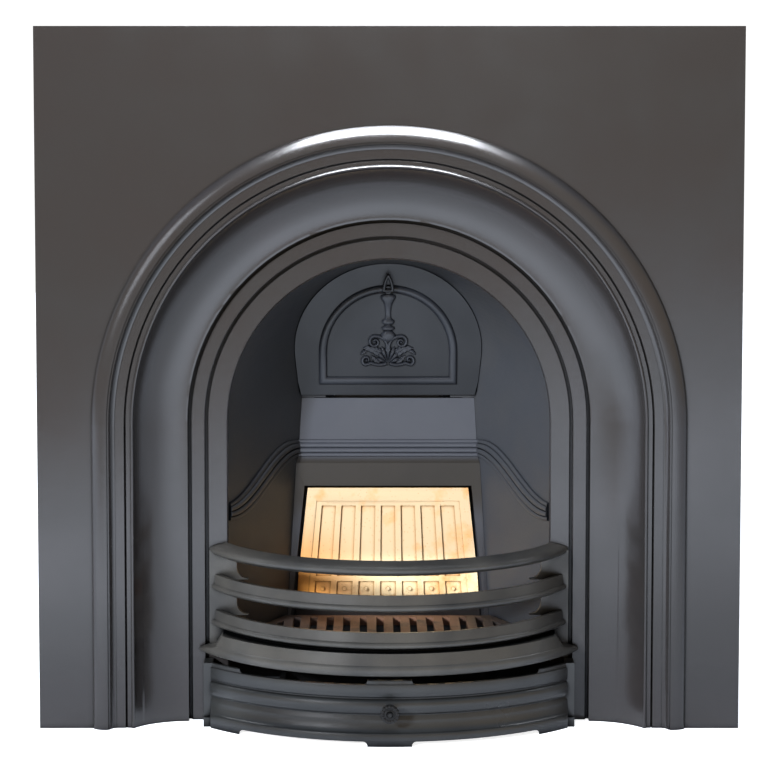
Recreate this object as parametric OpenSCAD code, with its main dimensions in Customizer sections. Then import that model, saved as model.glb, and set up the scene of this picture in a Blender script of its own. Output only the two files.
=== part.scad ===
// Arched cast iron fireplace insert: a square face plate with a moulded arch and a cove, an inner ring,
// a tapered fire chamber with a vaulted hood and a flue door, a bowed front of bars, a grate,
// a fire brick in a leaning back panel, and an ash pit with a loose cover and a pan.
// X runs across the front, Y runs back into the chimney, Z runs up from the hearth.
// Depths are measured from the front of the face plate and grow towards the back.

/* [Face plate] */
// Width of the face plate
plate_w = 965; // [945:1:1000]
// Height of the face plate
plate_h = 965; // [945:1:1000]
// Wall of the face plate and of its mouldings
plate_t = 7; // [6:0.5:8]
// Reach of the edge flange behind the front face
rim_depth = 27; // [23:1:32]
// Thickness of the edge flange
rim_t = 7; // [5:0.5:9]
// Diameter of the rear bosses for wall ties
wall_boss_d = 24; // [20:1:28]
// Bore of the rear bosses
wall_bore_d = 8.5; // [6:0.5:10]
// Depth of that bore
wall_bore_depth = 16; // [10:1:18]
// Distance of a rear boss from the side edge of the plate
wall_boss_side = 37; // [32:1:42]
// Height of the lower rear bosses, and of the upper ones below the top edge
wall_boss_end = 150; // [100:1:200]

/* [Arch mouldings] */
// Height of the arch's centre above the hearth
arch_z = 422; // [412:1:432]
// Radius of the opening inside the ring
opening_r = 224; // [220:1:228]
// Width of the ring's inner band
inner_band_w = 28; // [24:0.5:30]
// Width of the groove between the ring's bands
band_groove_w = 4; // [3:0.5:5]
// Width of the ring's outer band
outer_band_w = 19.5; // [17:0.5:22]
// Open shadow gap between the ring and the cove
shadow_gap = 4; // [3:0.5:5]
// Width of the cove
cove_w = 71; // [66:1:76]
// Depth of the cove's inner end
cove_d = 38; // [34:1:42]
// Width of the small bead at the cove's outer edge
bead_w = 5; // [4:0.5:7]
// Height of that bead
bead_h = 3; // [2:0.5:4]
// Width of the flat fillet outside the bead
fillet_w = 5.5; // [4:0.5:7]
// Width of the narrow groove outside the fillet
vee_w = 3; // [2:0.5:4]
// Width of the flat fascia
fascia_w = 12.5; // [10:0.5:15]
// Width of the hollow outside the fascia
hollow_w = 7.5; // [6:0.5:9]
// Width of the step at the top of the hollow
crest_step_w = 4; // [3:0.5:5]
// Width of the rounded outer moulding
ovolo_w = 20.5; // [18:0.5:24]
// Height of the rounded outer moulding in front of the plate
crest_h = 11; // [9:0.5:13]

/* [Ring] */
// How far the front of the ring lies behind the cove's inner end
ring_set = 9; // [8.5:0.5:11]
// Step back from the outer band to the inner band
band_step = 3; // [2:0.5:4]
// Thickness of the ring behind its inner band
ring_t = 10; // [9:0.5:12]
// Width of the ring's flange behind the cove
ring_flange_w = 17; // [14:1:19]
// Thickness of that flange
ring_flange_t = 7; // [6:0.5:8]
// Distance of a clamp bolt from the cove's inner edge
clamp_offset = 36.5; // [35:0.5:39]
// Width of a ring clamp
clamp_w = 24; // [18:1:30]
// Thickness of a ring clamp
clamp_t = 5; // [4:0.5:6]

/* [Fire chamber] */
// Depth of the chamber's back edge
chamber_back = 207; // [200:1:214]
// Half width of the chamber at its back edge
back_half_w = 125.4; // [121:0.2:130]
// Height of the hood's back arch centre
back_arch_z = 506; // [500:1:512]
// Wall of the cheeks and the hood, measured sideways
chamber_t = 8; // [7.5:0.5:9]
// Thickness of the bolting flanges
flange_t = 7; // [6:0.5:8]
// Width of the front flanges
front_flange_w = 32; // [30:0.5:34]
// Reach of the back flanges from the chamber's centre line, past the back half width
back_flange_w = 34; // [32:0.5:38]
// Sideways height of the cheek moulding above the cheek
reed_h = 5; // [3:0.5:6]
// Height of the cheek moulding's middle where it meets the ring
reed_front_z = 292; // [285:1:300]
// Height of the moulding's middle on the back panel
reed_back_z = 363; // [356:1:370]
// Height of the moulding on the back panel
reed_band = 24; // [20:1:26]
// Extra height of the cheek moulding at the middle of its rise
reed_swell = 15; // [8:1:18]

/* [Back panel and brick] */
// Depth of the back panel's face, carried down to the hearth
panel_foot_d = 169; // [165:0.5:173]
// Distance of the panel's top edge in front of the chamber's back edge
panel_set = 1; // [0.5:0.5:3]
// Height of the back panel's bottom edge
panel_bottom = 4; // [2:1:12]
// Height of the back panel's top edge
panel_top = 435.5; // [432:0.5:436]
// Thickness of the back panel
panel_t = 7; // [6:0.5:8]
// Clearance between the back panel and the cheeks
panel_gap = 0.4; // [0.3:0.1:0.6]
// Height of the raised frame round the brick
frame_rise = 4; // [3:0.5:5]
// Height of the bevel above that frame
frame_bevel = 11; // [8:1:13]
// Least wall between the brick's recess and a cheek
strip_w = 3.5; // [3:0.5:5]
// Height of the brick recess's sill, up the panel
sill_z = 120; // [114:1:126]
// Open gap above the brick
brick_head_gap = 3.5; // [2.5:0.5:6]
// Gap between the brick and the sides of its recess
brick_gap = 5; // [3:0.5:6]
// Width of the fire brick's foot
brick_foot_w = 273; // [260:1:280]
// Width of the fire brick's top
brick_top_w = 234; // [226:1:242]
// Height of the fire brick
brick_h = 186; // [178:1:190]
// Thickness of the fire brick
brick_t = 33; // [28:1:36]
// How far the brick's face lies behind the panel's face
brick_set = 2; // [1:0.5:4]
// Wall of the recess behind the panel
pocket_t = 5; // [4:0.5:6]
// Depth of the hollows pressed into the brick's face
brick_relief = 3; // [2:0.5:4]

/* [Flue door] */
// Lean of the door towards the fire
door_lean = 9; // [8:0.5:10]
// Gap between the back panel's top and the door's lower edge
door_foot_gap = 5.5; // [5:0.5:7]
// Thickness of the door
door_t = 7; // [6:0.5:7.5]
// Clearance between the door and the hood
door_gap = 1.5; // [1.2:0.1:2]
// Width of the plain border above the raised arch
door_margin = 31.5; // [28:0.5:36]
// Height of the raised arch's centre above the centre of the hood's arch
door_arch_rise = 7; // [4:0.1:10]
// Height of the raised frame's lower edge above the door's lower edge
door_frame_up = 16; // [13:1:19]
// Width of the raised frame
door_frame_w = 11; // [9:0.5:13]
// Height of the raised frame
door_frame_h = 3.5; // [2.5:0.5:4.5]
// Diameter of the hinge pins
hinge_pin_d = 5; // [4:0.5:5.5]
// Running clearance round a hinge pin
hinge_clear = 0.1; // [0.05:0.05:0.1]
// Diameter of the loop handle's wire
loop_wire_d = 4.6; // [4:0.2:5.2]
// Width of the loop handle
loop_w = 17; // [15:1:20]
// Height of the loop handle
loop_h = 27; // [24:1:30]

/* [Flue frame] */
// Half width of the flue throat
throat_r = 108; // [104:1:110]
// Reach of the collar behind the frame
collar_reach = 18; // [12:1:24]
// Wall of the collar
collar_t = 6; // [5:0.5:8]

/* [Front bars] */
// Depth of the front of the bars
bars_front = -116; // [-120:1:-112]
// Width of a bar from front to back
bar_w = 24; // [22:1:26]
// Height of the top bar's upper edge
bar_top_z = 251; // [246:1:256]
// Height of a bar
bar_h = 18; // [16:1:20]
// Rise from one bar to the next
bar_pitch = 50; // [47:0.5:52]
// Depth of the front of the ledge
ledge_front = -121; // [-125:1:-118]
// Depth of the ledge's front at its tips
ledge_tip_d = 35.4; // [32:0.2:38]
// Reach of the ledge's tips beyond the ring's groove
ledge_tip_reach = 8; // [5:1:11]
// Height of the ledge's lower edge
ledge_z = 99; // [97:0.5:101]
// Height of the ledge
ledge_h = 30; // [28:1:31]
// Reach of the end plates inside the ring's opening
end_plate_lap = 12; // [10:1:15]
// Distance of the end plates from the ring's groove
end_plate_inset = 2; // [1.5:0.5:5]
// How far the bars' bow would run past the end plates' outer edges, where it is cut off
bar_end_reach = 2; // [0:0.5:4]
// Radius of the corners between the end plates and the bars
end_plate_corner = 16; // [10:1:18]
// Thickness of the end plates
end_plate_t = 9.7; // [9.5:0.1:11]
// Diameter of the stud heads that the bars hang on
stud_head_d = 12; // [10:0.5:13]
// Diameter of the stud shanks
stud_d = 6; // [5:0.5:7]
// Lift that frees the bars from the studs
bars_lift = 16; // [14:1:18]

/* [Grate] */
// Height of the grate's top
grate_z = 123; // [120:1:126]
// Thickness of the grate
grate_t = 12; // [10:1:14]
// Gap between the grate's front edge and the bars
grate_gap = 9; // [7:1:12]
// Gap between the grate and each side of the ring's opening
grate_side_gap = 24; // [21:1:28]
// Gap between the grate's back edge and the frame round the brick
grate_tail_gap = 9; // [6:1:12]
// Gap between the grate's back corners and the cheeks
grate_corner_gap = 3.6; // [3:0.2:6]
// Width of the solid border round the slots
grate_border = 13; // [10:1:15]
// Width of a slot
slot_w = 10.5; // [8:0.5:12]
// Spacing of the slots
slot_pitch = 23.8; // [22:0.2:24]
// Number of slots on each side of the middle bar
slots_a_side = 8; // [6:1:8]

/* [Ash cover] */
// Depth of the front of the cover's lower lip
cover_front = -100; // [-104:1:-96]
// Depth of that lip at the cover's sides
cover_side_d = 10; // [6:1:13]
// Reach of the cover's sides beyond the ring's inner band
cover_side_reach = 5; // [3:0.5:7]
// Height of the cover between its tabs
cover_h = 82; // [79:1:83]
// Height of the tabs above the cover
tab_h = 6; // [4:0.5:7]
// Height of the feet under the cover
foot_h = 7; // [5:0.5:9]
// Wall of the cover
cover_t = 6; // [5:0.5:7]
// Half width of the middle tab and foot
mid_tab_w = 30; // [24:1:36]
// Width of the outer tabs and feet
side_tab_w = 52; // [45:1:60]
// Width of the cover's flat side margins
cover_margin = 10; // [8:0.5:13]
// Height of the knob's centre
knob_z = 49; // [47:0.5:51]
// Diameter of the knob
knob_d = 26; // [22:1:30]
// Reach of the knob in front of its seat
knob_reach = 26; // [23:1:30]
// Diameter of the knob's stud
knob_stud_d = 6; // [5:0.5:7]

/* [Ash pan] */
// Gap between the ash pan's back corners and the cheeks
pan_side_gap = 15; // [11:1:24]
// Depth of the ash pan's front
pan_front = -34; // [-40:1:-26]
// Depth of the ash pan's back
pan_back = 150; // [140:1:152]
// Height of the ash pan
pan_h = 45; // [38:1:52]
// Sheet of the ash pan
pan_t = 1.5; // [1.2:0.1:2]
// Width of the pan's turned rim
pan_rim = 6; // [4:0.5:8]
// Corner radius of the pan
pan_corner = 16; // [12:1:22]

/* [Fixings] */
// Diameter of the fixing bolts
bolt_d = 5.8; // [5:0.1:6]
// Width across the flats of a bolt head
bolt_flats = 10; // [9:0.5:11]
// Height of a bolt head
bolt_head_h = 4; // [3:0.5:5]

/* [Hidden] */
tap_d = bolt_d + 0.2;
bolt_hole_d = bolt_d + 1;
$fn = 96;

iron = [0.27, 0.28, 0.30];
rusty_iron = [0.42, 0.33, 0.27];
clay = [0.93, 0.83, 0.66];
steel = [0.55, 0.56, 0.58];
pan_steel = [0.20, 0.21, 0.22];

seat_gap = 0.3;    // clearance of a seated piece that lifts or slides away
lap = 4;           // overlap of shapes that are cast as one
far = 2000;        // longer than the fireplace, for cutting

// radii of the arch, from the opening outwards
r_inner_band = opening_r + inner_band_w;
r_outer_band_in = r_inner_band + band_groove_w;
r_outer_band = r_outer_band_in + outer_band_w;
r_cove_in = r_outer_band + shadow_gap;
r_cove_out = r_cove_in + cove_w;
r_bead = r_cove_out + bead_w;
r_fillet = r_bead + fillet_w;
r_fascia_in = r_fillet + vee_w;
r_fascia = r_fascia_in + fascia_w;
r_hollow = r_fascia + hollow_w;
r_crest = r_hollow + crest_step_w;
r_ovolo = r_crest + ovolo_w;
fillet_d = 1.5;
fascia_d = 1;
vee_d = 4;
crest_step_h = 2.5;

// cove: an arc that is square to the ring at its inner end and meets the fillet at its outer end
cove_rise = cove_d - fillet_d;
cove_r = (cove_w * cove_w + cove_rise * cove_rise) / (2 * cove_rise);
cove_axis_d = cove_d - cove_r;
cove_angle = asin(cove_w / cove_r);
cove_back_r = cove_r + plate_t;
cove_back_angle = acos((plate_t - cove_axis_d) / cove_back_r);
cove_back_d = cove_d + plate_t;

// ring
ring_face_d = cove_d + ring_set;
ring_inner_face = ring_face_d + band_step;
ring_back = ring_inner_face + ring_t;
ring_shoulder = 1.5;
r_flange_in = r_cove_in + ring_shoulder;
r_flange = r_flange_in + ring_flange_w;
ring_land_w = ring_flange_w + ring_shoulder + 2;
ring_flange_back = cove_back_d + ring_flange_t;
r_clamp = r_cove_in + clamp_offset;
clamp_angles = [35, 90, 145];
clamp_heights = [90, 330];
clamp_boss_d = 15;
clamp_bore_depth = 12;
ring_bolt_r = opening_r + 20;
ring_tap_depth = 6;

// chamber
chamber_run = chamber_back - ring_back;
taper = (opening_r - back_half_w) / chamber_run;
hood_rise = (back_arch_z - arch_z) / chamber_run;
cheek_run = norm([opening_r - back_half_w, chamber_run]);
cheek_turn = atan2(chamber_run, opening_r - back_half_w);
hood_steps = 60;
r_front_flange = opening_r + front_flange_w;
r_front_flange_in = opening_r + 1.5;
r_back_flange = back_half_w + back_flange_w;
r_back_flange_in = back_half_w + 6.4;
back_bolt_x = r_back_flange - 9;
cheek_bolt_heights = [50, 240, 395];
hood_bolt_angles = [25, 65, 115, 155];
frame_bolt_angles = [20, 60, 120, 160];
frame_bolt_z = (back_arch_z + panel_top) / 2 + 1;
panel_bolt_heights = [150, 290, panel_top - 20.5];
frame_back = chamber_back + flange_t;

// half width of the chamber at a depth
function chamber_w(d) = opening_r - taper * (d - ring_back);

// back panel: its own frame has v up the panel and w behind its face
panel_lean = atan((chamber_back - panel_set - panel_foot_d) / panel_top);
panel_bottom_v = panel_bottom / cos(panel_lean);
panel_top_v = panel_top / cos(panel_lean);
recess_top = sill_z + brick_h + brick_head_gap;
pocket_inner_w = brick_set + brick_t;
pocket_w = pocket_inner_w + pocket_t;
wing_in = back_half_w - 14;
wing_t = flange_t;
wing_bottom = 100;
panel_reed_d = panel_foot_d + reed_back_z * tan(panel_lean);
bevel_top = (reed_back_z + 1) / cos(panel_lean) - reed_band / 2;

// door
door_foot_d = chamber_back - seat_gap - door_t * cos(door_lean);
door_z = panel_top + door_foot_gap;
door_arch_up = door_edge(0, 0, door_gap)[1] + door_arch_rise;
door_arch_r = door_edge(90, 0, door_gap)[1] - door_arch_up - door_margin;
door_steps = 40;
hinge_d = chamber_back + 5;
hinge_z = door_z + 1;
hinge_knuckle_r = 5.4;
hinge_lug_in = 80;
hinge_lug_t = 10;
hinge_ear_in = hinge_lug_in + hinge_lug_t + 1;
hinge_bore_end = hinge_ear_in + 13;
loop_v = door_arch_up + door_arch_r - (door_frame_h + door_frame_w - 3) / 2;
loop_stand = 12;
loop_peg_d = 5;

// radius of a curve from its half width and its rise
function bow_r(half_w, rise) = (half_w * half_w + rise * rise) / (2 * rise);

// bars
bars_back = ring_inner_face - seat_gap;
end_plate_in = opening_r - end_plate_lap;
end_plate_out = r_inner_band - end_plate_inset;
bar_r = bow_r(end_plate_out + bar_end_reach, bars_back - bars_front);
bars_centre_d = bars_front + bar_r;
bar_in_r = bar_r - bar_w;
end_plate_front = bars_back - end_plate_t;
ledge_back = ring_face_d - seat_gap;
ledge_tip = r_outer_band_in + ledge_tip_reach;
ledge_r = bow_r(ledge_tip, ledge_tip_d - ledge_front);
ledge_centre_d = ledge_front + ledge_r;
end_plate_top = bar_top_z - 10;
stud_x = (end_plate_in + end_plate_out) / 2 + 7;
stud_heights = [bar_top_z - 94, bar_top_z - 29];
stud_head_t = 2.5;
keyhole_lip = 2.8;
stud_tap_depth = 6;

// grate
grate_r = bar_in_r - grate_gap;
grate_half_w = opening_r - grate_side_gap;
grate_back = panel_foot_d + grate_z * tan(panel_lean) - frame_rise - grate_tail_gap;
grate_back_w = chamber_w(grate_back) - grate_corner_gap;

// ash cover
cover_half_w = r_inner_band + cover_side_reach;
side_tab_in = cover_half_w - side_tab_w;
cover_r = bow_r(cover_half_w, cover_side_d - cover_front);
cover_centre_d = cover_front + cover_r;
cover_face_r = cover_r - 9;
cover_in_r = cover_face_r - cover_t;
cover_bead_r = cover_face_r + 4;
cover_back = ring_face_d - seat_gap;
knob_seat_d = cover_centre_d - cover_bead_r - 2;
nut_seat_d = cover_centre_d - cover_in_r + 1.5;

// ash pan
pan_w = 2 * (chamber_w(pan_back) - pan_side_gap);

// whole fireplace: the origin is under the middle of its depth
front_reach = knob_seat_d - knob_reach;
collar_back = frame_back + collar_reach;
pocket_back = panel_foot_d + (recess_top + pocket_t) * sin(panel_lean) + pocket_w * cos(panel_lean);
back_reach = max(collar_back, pocket_back);
centre_d = (front_reach + back_reach) / 2;

module place() { translate([0, -centre_d, 0]) children(); }

// points of an arc with two radii
function arc(cx, cy, rx, ry, a0, a1, n) =
    [for (i = [0:n]) let (a = a0 + (a1 - a0) * i / n) [cx + rx * cos(a), cy + ry * sin(a)]];

// closed mesh through a row of rings that all have the same number of points
module skin(rings) {
    n = len(rings[0]);
    m = len(rings);
    points = [for (ring = rings) for (p = ring) p];
    sides = [for (i = [0:m - 2]) for (j = [0:n - 1]) for (half = [0, 1])
        let (a = i * n + j, b = i * n + (j + 1) % n, c = b + n, d = a + n)
        half == 0 ? [a, b, c] : [a, c, d]];
    caps = [[for (j = [n - 1:-1:0]) j], [for (j = [0:n - 1]) (m - 1) * n + j]];
    polyhedron(points = points, faces = concat(sides, caps), convexity = 8);
}

// a profile of radius and depth, run up both jambs and round the arch
module arch_run() {
    translate([0, 0, arch_z]) rotate([-90, 0, 0]) rotate([0, 0, 180])
        rotate_extrude(angle = 180, $fn = 180) children();
    for (side = [0, 1]) mirror([side, 0, 0]) linear_extrude(height = arch_z) children();
}

// arch shape of a radius on a centre height, standing on a foot height
module arch_outline(r, z, foot) {
    intersection() {
        translate([0, z]) circle(r = r, $fn = 180);
        translate([-r - 1, foot]) square([2 * r + 2, z + r + 1 - foot]);
    }
    translate([-r, foot]) square([2 * r, z - foot]);
}

// a flat shape of width and height, made solid from one depth to another
module slab(d0, d1) {
    translate([0, d1, 0]) rotate([90, 0, 0]) linear_extrude(height = d1 - d0) children();
}

// a flat shape of depth and height, made solid from one side to another
module across(x0, x1) {
    translate([x0, 0, 0]) rotate([90, 0, 90]) linear_extrude(height = x1 - x0) children();
}

// a round bar or bore that runs back from a depth
module rod(x, z, d0, d1, dia) {
    translate([x, d0, z]) rotate([-90, 0, 0]) cylinder(d = dia, h = d1 - d0);
}

module both_sides() {
    children();
    mirror([1, 0, 0]) children();
}

// a spot on the arch or on a jamb, with local X pointing out from the opening
module on_arch(a, z = arch_z) { translate([0, 0, z]) rotate([0, -a, 0]) children(); }
module on_jambs(z) { translate([0, 0, z]) both_sides() children(); }

module at_clamps() {
    for (a = clamp_angles) on_arch(a) children();
    for (z = clamp_heights) on_jambs(z) children();
}

module at_ring_bolts(hood = true, cheeks = true) {
    if (hood) for (a = hood_bolt_angles) on_arch(a) children();
    if (cheeks) for (z = cheek_bolt_heights) on_jambs(z) children();
}

// hexagon bolt whose head stands behind a seat
module bolt_from_back(x, seat_d, tip_d) {
    rod(x, 0, tip_d, seat_d + 0.5, bolt_d);
    translate([x, seat_d, 0]) rotate([-90, 0, 0])
        cylinder(d = bolt_flats / cos(30), h = bolt_head_h, $fn = 6);
}

// hexagon nut on a bolt, in front of a seat
module nut_in_front(x, seat_d) {
    translate([x, seat_d - bolt_head_h, 0]) rotate([-90, 0, 0])
        cylinder(d = bolt_flats / cos(30), h = bolt_head_h, $fn = 6);
}

// ---- face plate ----

// moulding from the plate's sheet in to the cove's inner edge
module plate_profile() {
    polygon(concat(
        [[r_ovolo + lap, 0]],
        arc(r_crest, 0, ovolo_w, -crest_h, 0, 90, 12),
        [[r_crest - 1.2, -crest_h], [r_crest - 1.6, crest_step_h - crest_h]],
        arc(r_fascia, crest_step_h - crest_h, hollow_w, crest_h - crest_step_h, 0, 90, 8),
        [[r_fascia, fascia_d], [r_fascia_in, fascia_d], [(r_fascia_in + r_fillet) / 2, vee_d],
            [r_fillet, fillet_d]],
        arc(r_cove_out + bead_w / 2, fillet_d, bead_w / 2, -bead_h, 0, 180, 8),
        [for (i = [1:24]) let (a = cove_angle * (1 - i / 24))
            [r_cove_in + cove_r * sin(a), cove_axis_d + cove_r * cos(a)]],
        [[r_cove_in, cove_back_d], [r_cove_in + ring_land_w, cove_back_d]],
        [for (i = [0:20]) let (a0 = asin(ring_land_w / cove_back_r),
            a = a0 + (cove_back_angle - a0) * i / 20)
            [r_cove_in + cove_back_r * sin(a), cove_axis_d + cove_back_r * cos(a)]],
        [[r_ovolo + lap, plate_t]]));
}

module plate_square(edge) {
    translate([edge - plate_w / 2, 0]) square([plate_w - 2 * edge, plate_h - edge]);
}

module at_wall_bosses() {
    for (z = [wall_boss_end, plate_h - wall_boss_end])
        translate([0, 0, z]) both_sides() translate([plate_w / 2 - wall_boss_side, 0, 0]) children();
}

module face_plate() color(iron) place() difference() {
    union() {
        slab(0, plate_t) difference() {
            plate_square(0);
            arch_outline(r_ovolo, arch_z, -1);
        }
        slab(0, rim_depth) difference() {
            plate_square(0);
            translate([0, -1]) plate_square(rim_t);
        }
        arch_run() plate_profile();
        at_wall_bosses() rod(0, 0, plate_t - 1, rim_depth, wall_boss_d);
        at_clamps() rod(r_clamp, 0, cove_mid(r_clamp), ring_flange_back, clamp_boss_d);
    }
    at_wall_bosses() rod(0, 0, rim_depth - wall_bore_depth, rim_depth + 1, wall_bore_d);
    at_clamps() rod(r_clamp, 0, ring_flange_back - clamp_bore_depth, ring_flange_back + 1, tap_d);
}

// depth of the middle of the cove's wall at a radius
function cove_mid(r) = cove_axis_d + sqrt(pow(cove_r + plate_t / 2, 2) - pow(r - r_cove_in, 2));

// ---- ring ----

module ring_profile() {
    bevel = 1;
    polygon([[opening_r, ring_inner_face + 2], [opening_r + 2, ring_inner_face],
        [r_inner_band - bevel, ring_inner_face], [r_inner_band, ring_inner_face + bevel],
        [r_inner_band, ring_inner_face + 4], [r_outer_band_in, ring_inner_face + 4],
        [r_outer_band_in, ring_face_d + bevel], [r_outer_band_in + bevel, ring_face_d],
        [r_outer_band - bevel, ring_face_d], [r_outer_band, ring_face_d + bevel],
        [r_outer_band, ring_flange_back], [r_flange_in, ring_flange_back],
        [r_flange_in, cove_back_d], [r_flange, cove_back_d], [r_flange, ring_flange_back],
        [r_flange_in + 4, ring_flange_back], [r_flange_in + 4, ring_back], [opening_r, ring_back]]);
}

module arch_ring() color(iron) place() difference() {
    union() {
        arch_run() ring_profile();
        on_jambs(grate_z - grate_t - grate_lug_h)
            translate([grate_half_w - grate_lug_reach, ring_inner_face + 1, 0])
            cube([opening_r + lap - grate_half_w + grate_lug_reach, ring_t - 1, grate_lug_h]);
    }
    at_ring_bolts() rod(ring_bolt_r, 0, ring_back - ring_tap_depth, ring_back + 1, tap_d);
    at_studs() rod(0, 0, ring_inner_face - 1, ring_inner_face + stud_tap_depth, stud_d + 0.1);
}
grate_lug_h = 12;
grate_lug_reach = 14;

module ring_clamps() color(steel) place() at_clamps() difference() {
    translate([r_flange_in + 6, ring_flange_back, -clamp_w / 2])
        cube([r_clamp + 10 - r_flange_in - 6, clamp_t, clamp_w]);
    rod(r_clamp, 0, ring_flange_back - 1, ring_flange_back + clamp_t + 1, bolt_hole_d);
}

module ring_bolts() color(steel) place() at_clamps()
    bolt_from_back(r_clamp, ring_flange_back + clamp_t, ring_flange_back - clamp_bore_depth + 1);

// ---- fire chamber ----

// plan of the chamber's inside, drawn in by a clearance and carried past its back edge
module chamber_plan(clear, past = 60) {
    d1 = chamber_back + past;
    polygon([[chamber_w(ring_back) - clear, ring_back], [chamber_w(d1) - clear, d1],
        [clear - chamber_w(d1), d1], [clear - chamber_w(ring_back), ring_back]]);
}

// layers of the reeded moulding: upper and lower edge as places down the band, and height
reed_layers = [[0, 0.2, 0.4], [0.03, 0.15, 0.6], [0.2, 0.46, 0.7], [0.24, 0.42, 1], [0.5, 0.77, 0.7],
    [0.54, 0.73, 1], [0.82, 1, 0.5]];
reed_start = 1;
reed_end_run = cheek_run * (panel_reed_d - reed_h - 1 - ring_back) / chamber_run;
reed_steps = 20;

// middle height and width of the cheek moulding along its rise from 0 to 1
function reed_mid(u) = reed_front_z + (reed_back_z - reed_front_z) * (1 - cos(180 * u)) / 2;
function reed_width(u) = reed_band + reed_swell * sin(180 * u);
function reed_edge(u, place) =
    [reed_start + u * (reed_end_run - reed_start), reed_mid(u) + reed_width(u) * (0.5 - place)];

// ogee moulding up the inside of the right cheek
module cheek_reeds() {
    along = [for (i = [0:reed_steps]) i / reed_steps];
    translate([opening_r, ring_back, 0]) rotate([0, 0, 180 - cheek_turn]) rotate([90, 0, 0])
        for (layer = reed_layers) translate([0, 0, -layer[2] * reed_h])
            linear_extrude(height = layer[2] * reed_h + 2) polygon(concat(
                [for (u = along) reed_edge(u, layer[0])], [for (u = along) reed_edge(1 - u, layer[1])]));
}

module right_cheek() difference() {
    union() {
        intersection() {
            linear_extrude(height = back_arch_z) {
                polygon([[opening_r, ring_back], [opening_r + chamber_t, ring_back],
                    [back_half_w + chamber_t, chamber_back], [back_half_w, chamber_back]]);
                translate([r_back_flange_in, chamber_back - flange_t])
                    square([r_back_flange - r_back_flange_in, flange_t]);
            }
            across(0, far) polygon([[ring_back, 0], [chamber_back, 0], [chamber_back, back_arch_z],
                [ring_back, arch_z]]);
        }
        translate([opening_r + chamber_t - 4, ring_back, 0])
            cube([front_flange_w - chamber_t + 4, flange_t, arch_z]);
        intersection() {
            translate([chamber_w(130) - 43, 112, grate_z - grate_t - grate_lug_h])
                cube([60, 36, grate_lug_h]);
            linear_extrude(height = grate_z) chamber_plan(-chamber_t / 2);
        }
        intersection() {
            translate([pan_w / 2 + pan_rim + seat_gap, 104, 0]) cube([70, 8, pan_h + 1]);
            linear_extrude(height = grate_z) chamber_plan(-chamber_t / 2);
        }
        cheek_reeds();
    }
    for (z = cheek_bolt_heights)
        rod(ring_bolt_r, z, ring_back - 1, ring_back + flange_t + 1, bolt_hole_d);
    for (z = concat(panel_bolt_heights, [frame_bolt_z]))
        rod(back_bolt_x, z, chamber_back - flange_t - 1, chamber_back + 1, bolt_hole_d);
}

module cheek_right() color(iron) place() right_cheek();
module cheek_left() color(iron) place() mirror([1, 0, 0]) right_cheek();

// hood wall: straight lines from the front arch to the smaller and higher back arch
module hood_wall() {
    skin([for (i = [0:hood_steps]) let (a = 180 * i / hood_steps)
        [for (corner = [[opening_r, ring_back, arch_z], [back_half_w, chamber_back, back_arch_z],
                [back_half_w + chamber_t, chamber_back, back_arch_z],
                [opening_r + chamber_t, ring_back, arch_z]])
            [corner[0] * cos(a), corner[1], corner[2] + corner[0] * sin(a)]]]);
}

module half_ring(r0, r1, z, d0, d1, lift = 0) {
    slab(d0, d1) intersection() {
        translate([0, z]) difference() {
            circle(r = r1, $fn = 180);
            circle(r = r0, $fn = 180);
        }
        translate([-far, z + lift]) square([2 * far, far]);
    }
}

module smoke_hood() color(iron) place() difference() {
    union() {
        hood_wall();
        half_ring(r_front_flange_in, r_front_flange, arch_z, ring_back, ring_back + flange_t,
            hood_rise * flange_t);
        half_ring(r_back_flange_in, r_back_flange, back_arch_z, chamber_back - flange_t, chamber_back);
    }
    at_ring_bolts(cheeks = false)
        rod(ring_bolt_r, 0, ring_back - 1, ring_back + flange_t + 1, bolt_hole_d);
    for (a = frame_bolt_angles) on_arch(a, back_arch_z)
        rod(back_bolt_x, 0, chamber_back - flange_t - 1, chamber_back + 1, bolt_hole_d);
}

module front_flange_bolts() color(steel) place() at_ring_bolts()
    bolt_from_back(ring_bolt_r, ring_back + flange_t, ring_back - ring_tap_depth + 1);

// ---- flue frame ----

module flue_frame() color(iron) place() difference() {
    union() {
        slab(chamber_back, frame_back) difference() {
            arch_outline(r_back_flange, back_arch_z, panel_top);
            arch_outline(throat_r, back_arch_z, panel_top - 1);
        }
        slab(frame_back - 1, collar_back) difference() {
            arch_outline(throat_r + collar_t, back_arch_z, panel_top + 1);
            arch_outline(throat_r, back_arch_z, panel_top);
        }
        both_sides() translate([hinge_ear_in, chamber_back, panel_top + 1])
            cube([throat_r + 2 - hinge_ear_in, hinge_d + 6.5 - chamber_back, hinge_z + 7 - panel_top]);
        translate([-throat_r - 2, hinge_d + hinge_knuckle_r + 1.2, panel_top - 5.5])
            cube([2 * throat_r + 4, 7, 16]);
    }
    both_sides() translate([hinge_ear_in - 1, hinge_d, hinge_z]) rotate([0, 90, 0])
        cylinder(d = hinge_pin_d + 0.1, h = hinge_bore_end - hinge_ear_in + 1);
    for (a = frame_bolt_angles) on_arch(a, back_arch_z)
        rod(back_bolt_x, 0, chamber_back - 1, frame_back + 1, bolt_hole_d);
    on_jambs(frame_bolt_z) rod(back_bolt_x, 0, chamber_back - 1, frame_back + 1, bolt_hole_d);
}

module back_bolt() {
    bolt_from_back(back_bolt_x, frame_back, chamber_back - flange_t - bolt_head_h - 1);
    nut_in_front(back_bolt_x, chamber_back - flange_t);
}

module back_flange_bolts() color(steel) place() {
    for (a = frame_bolt_angles) on_arch(a, back_arch_z) back_bolt();
    for (z = concat(panel_bolt_heights, [frame_bolt_z])) on_jambs(z) back_bolt();
}

// ---- back panel and brick ----

// local frame of the leaning panel: X across, Y behind its face, Z up the face
module on_panel() { translate([0, panel_foot_d, 0]) rotate([-panel_lean, 0, 0]) children(); }

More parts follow.
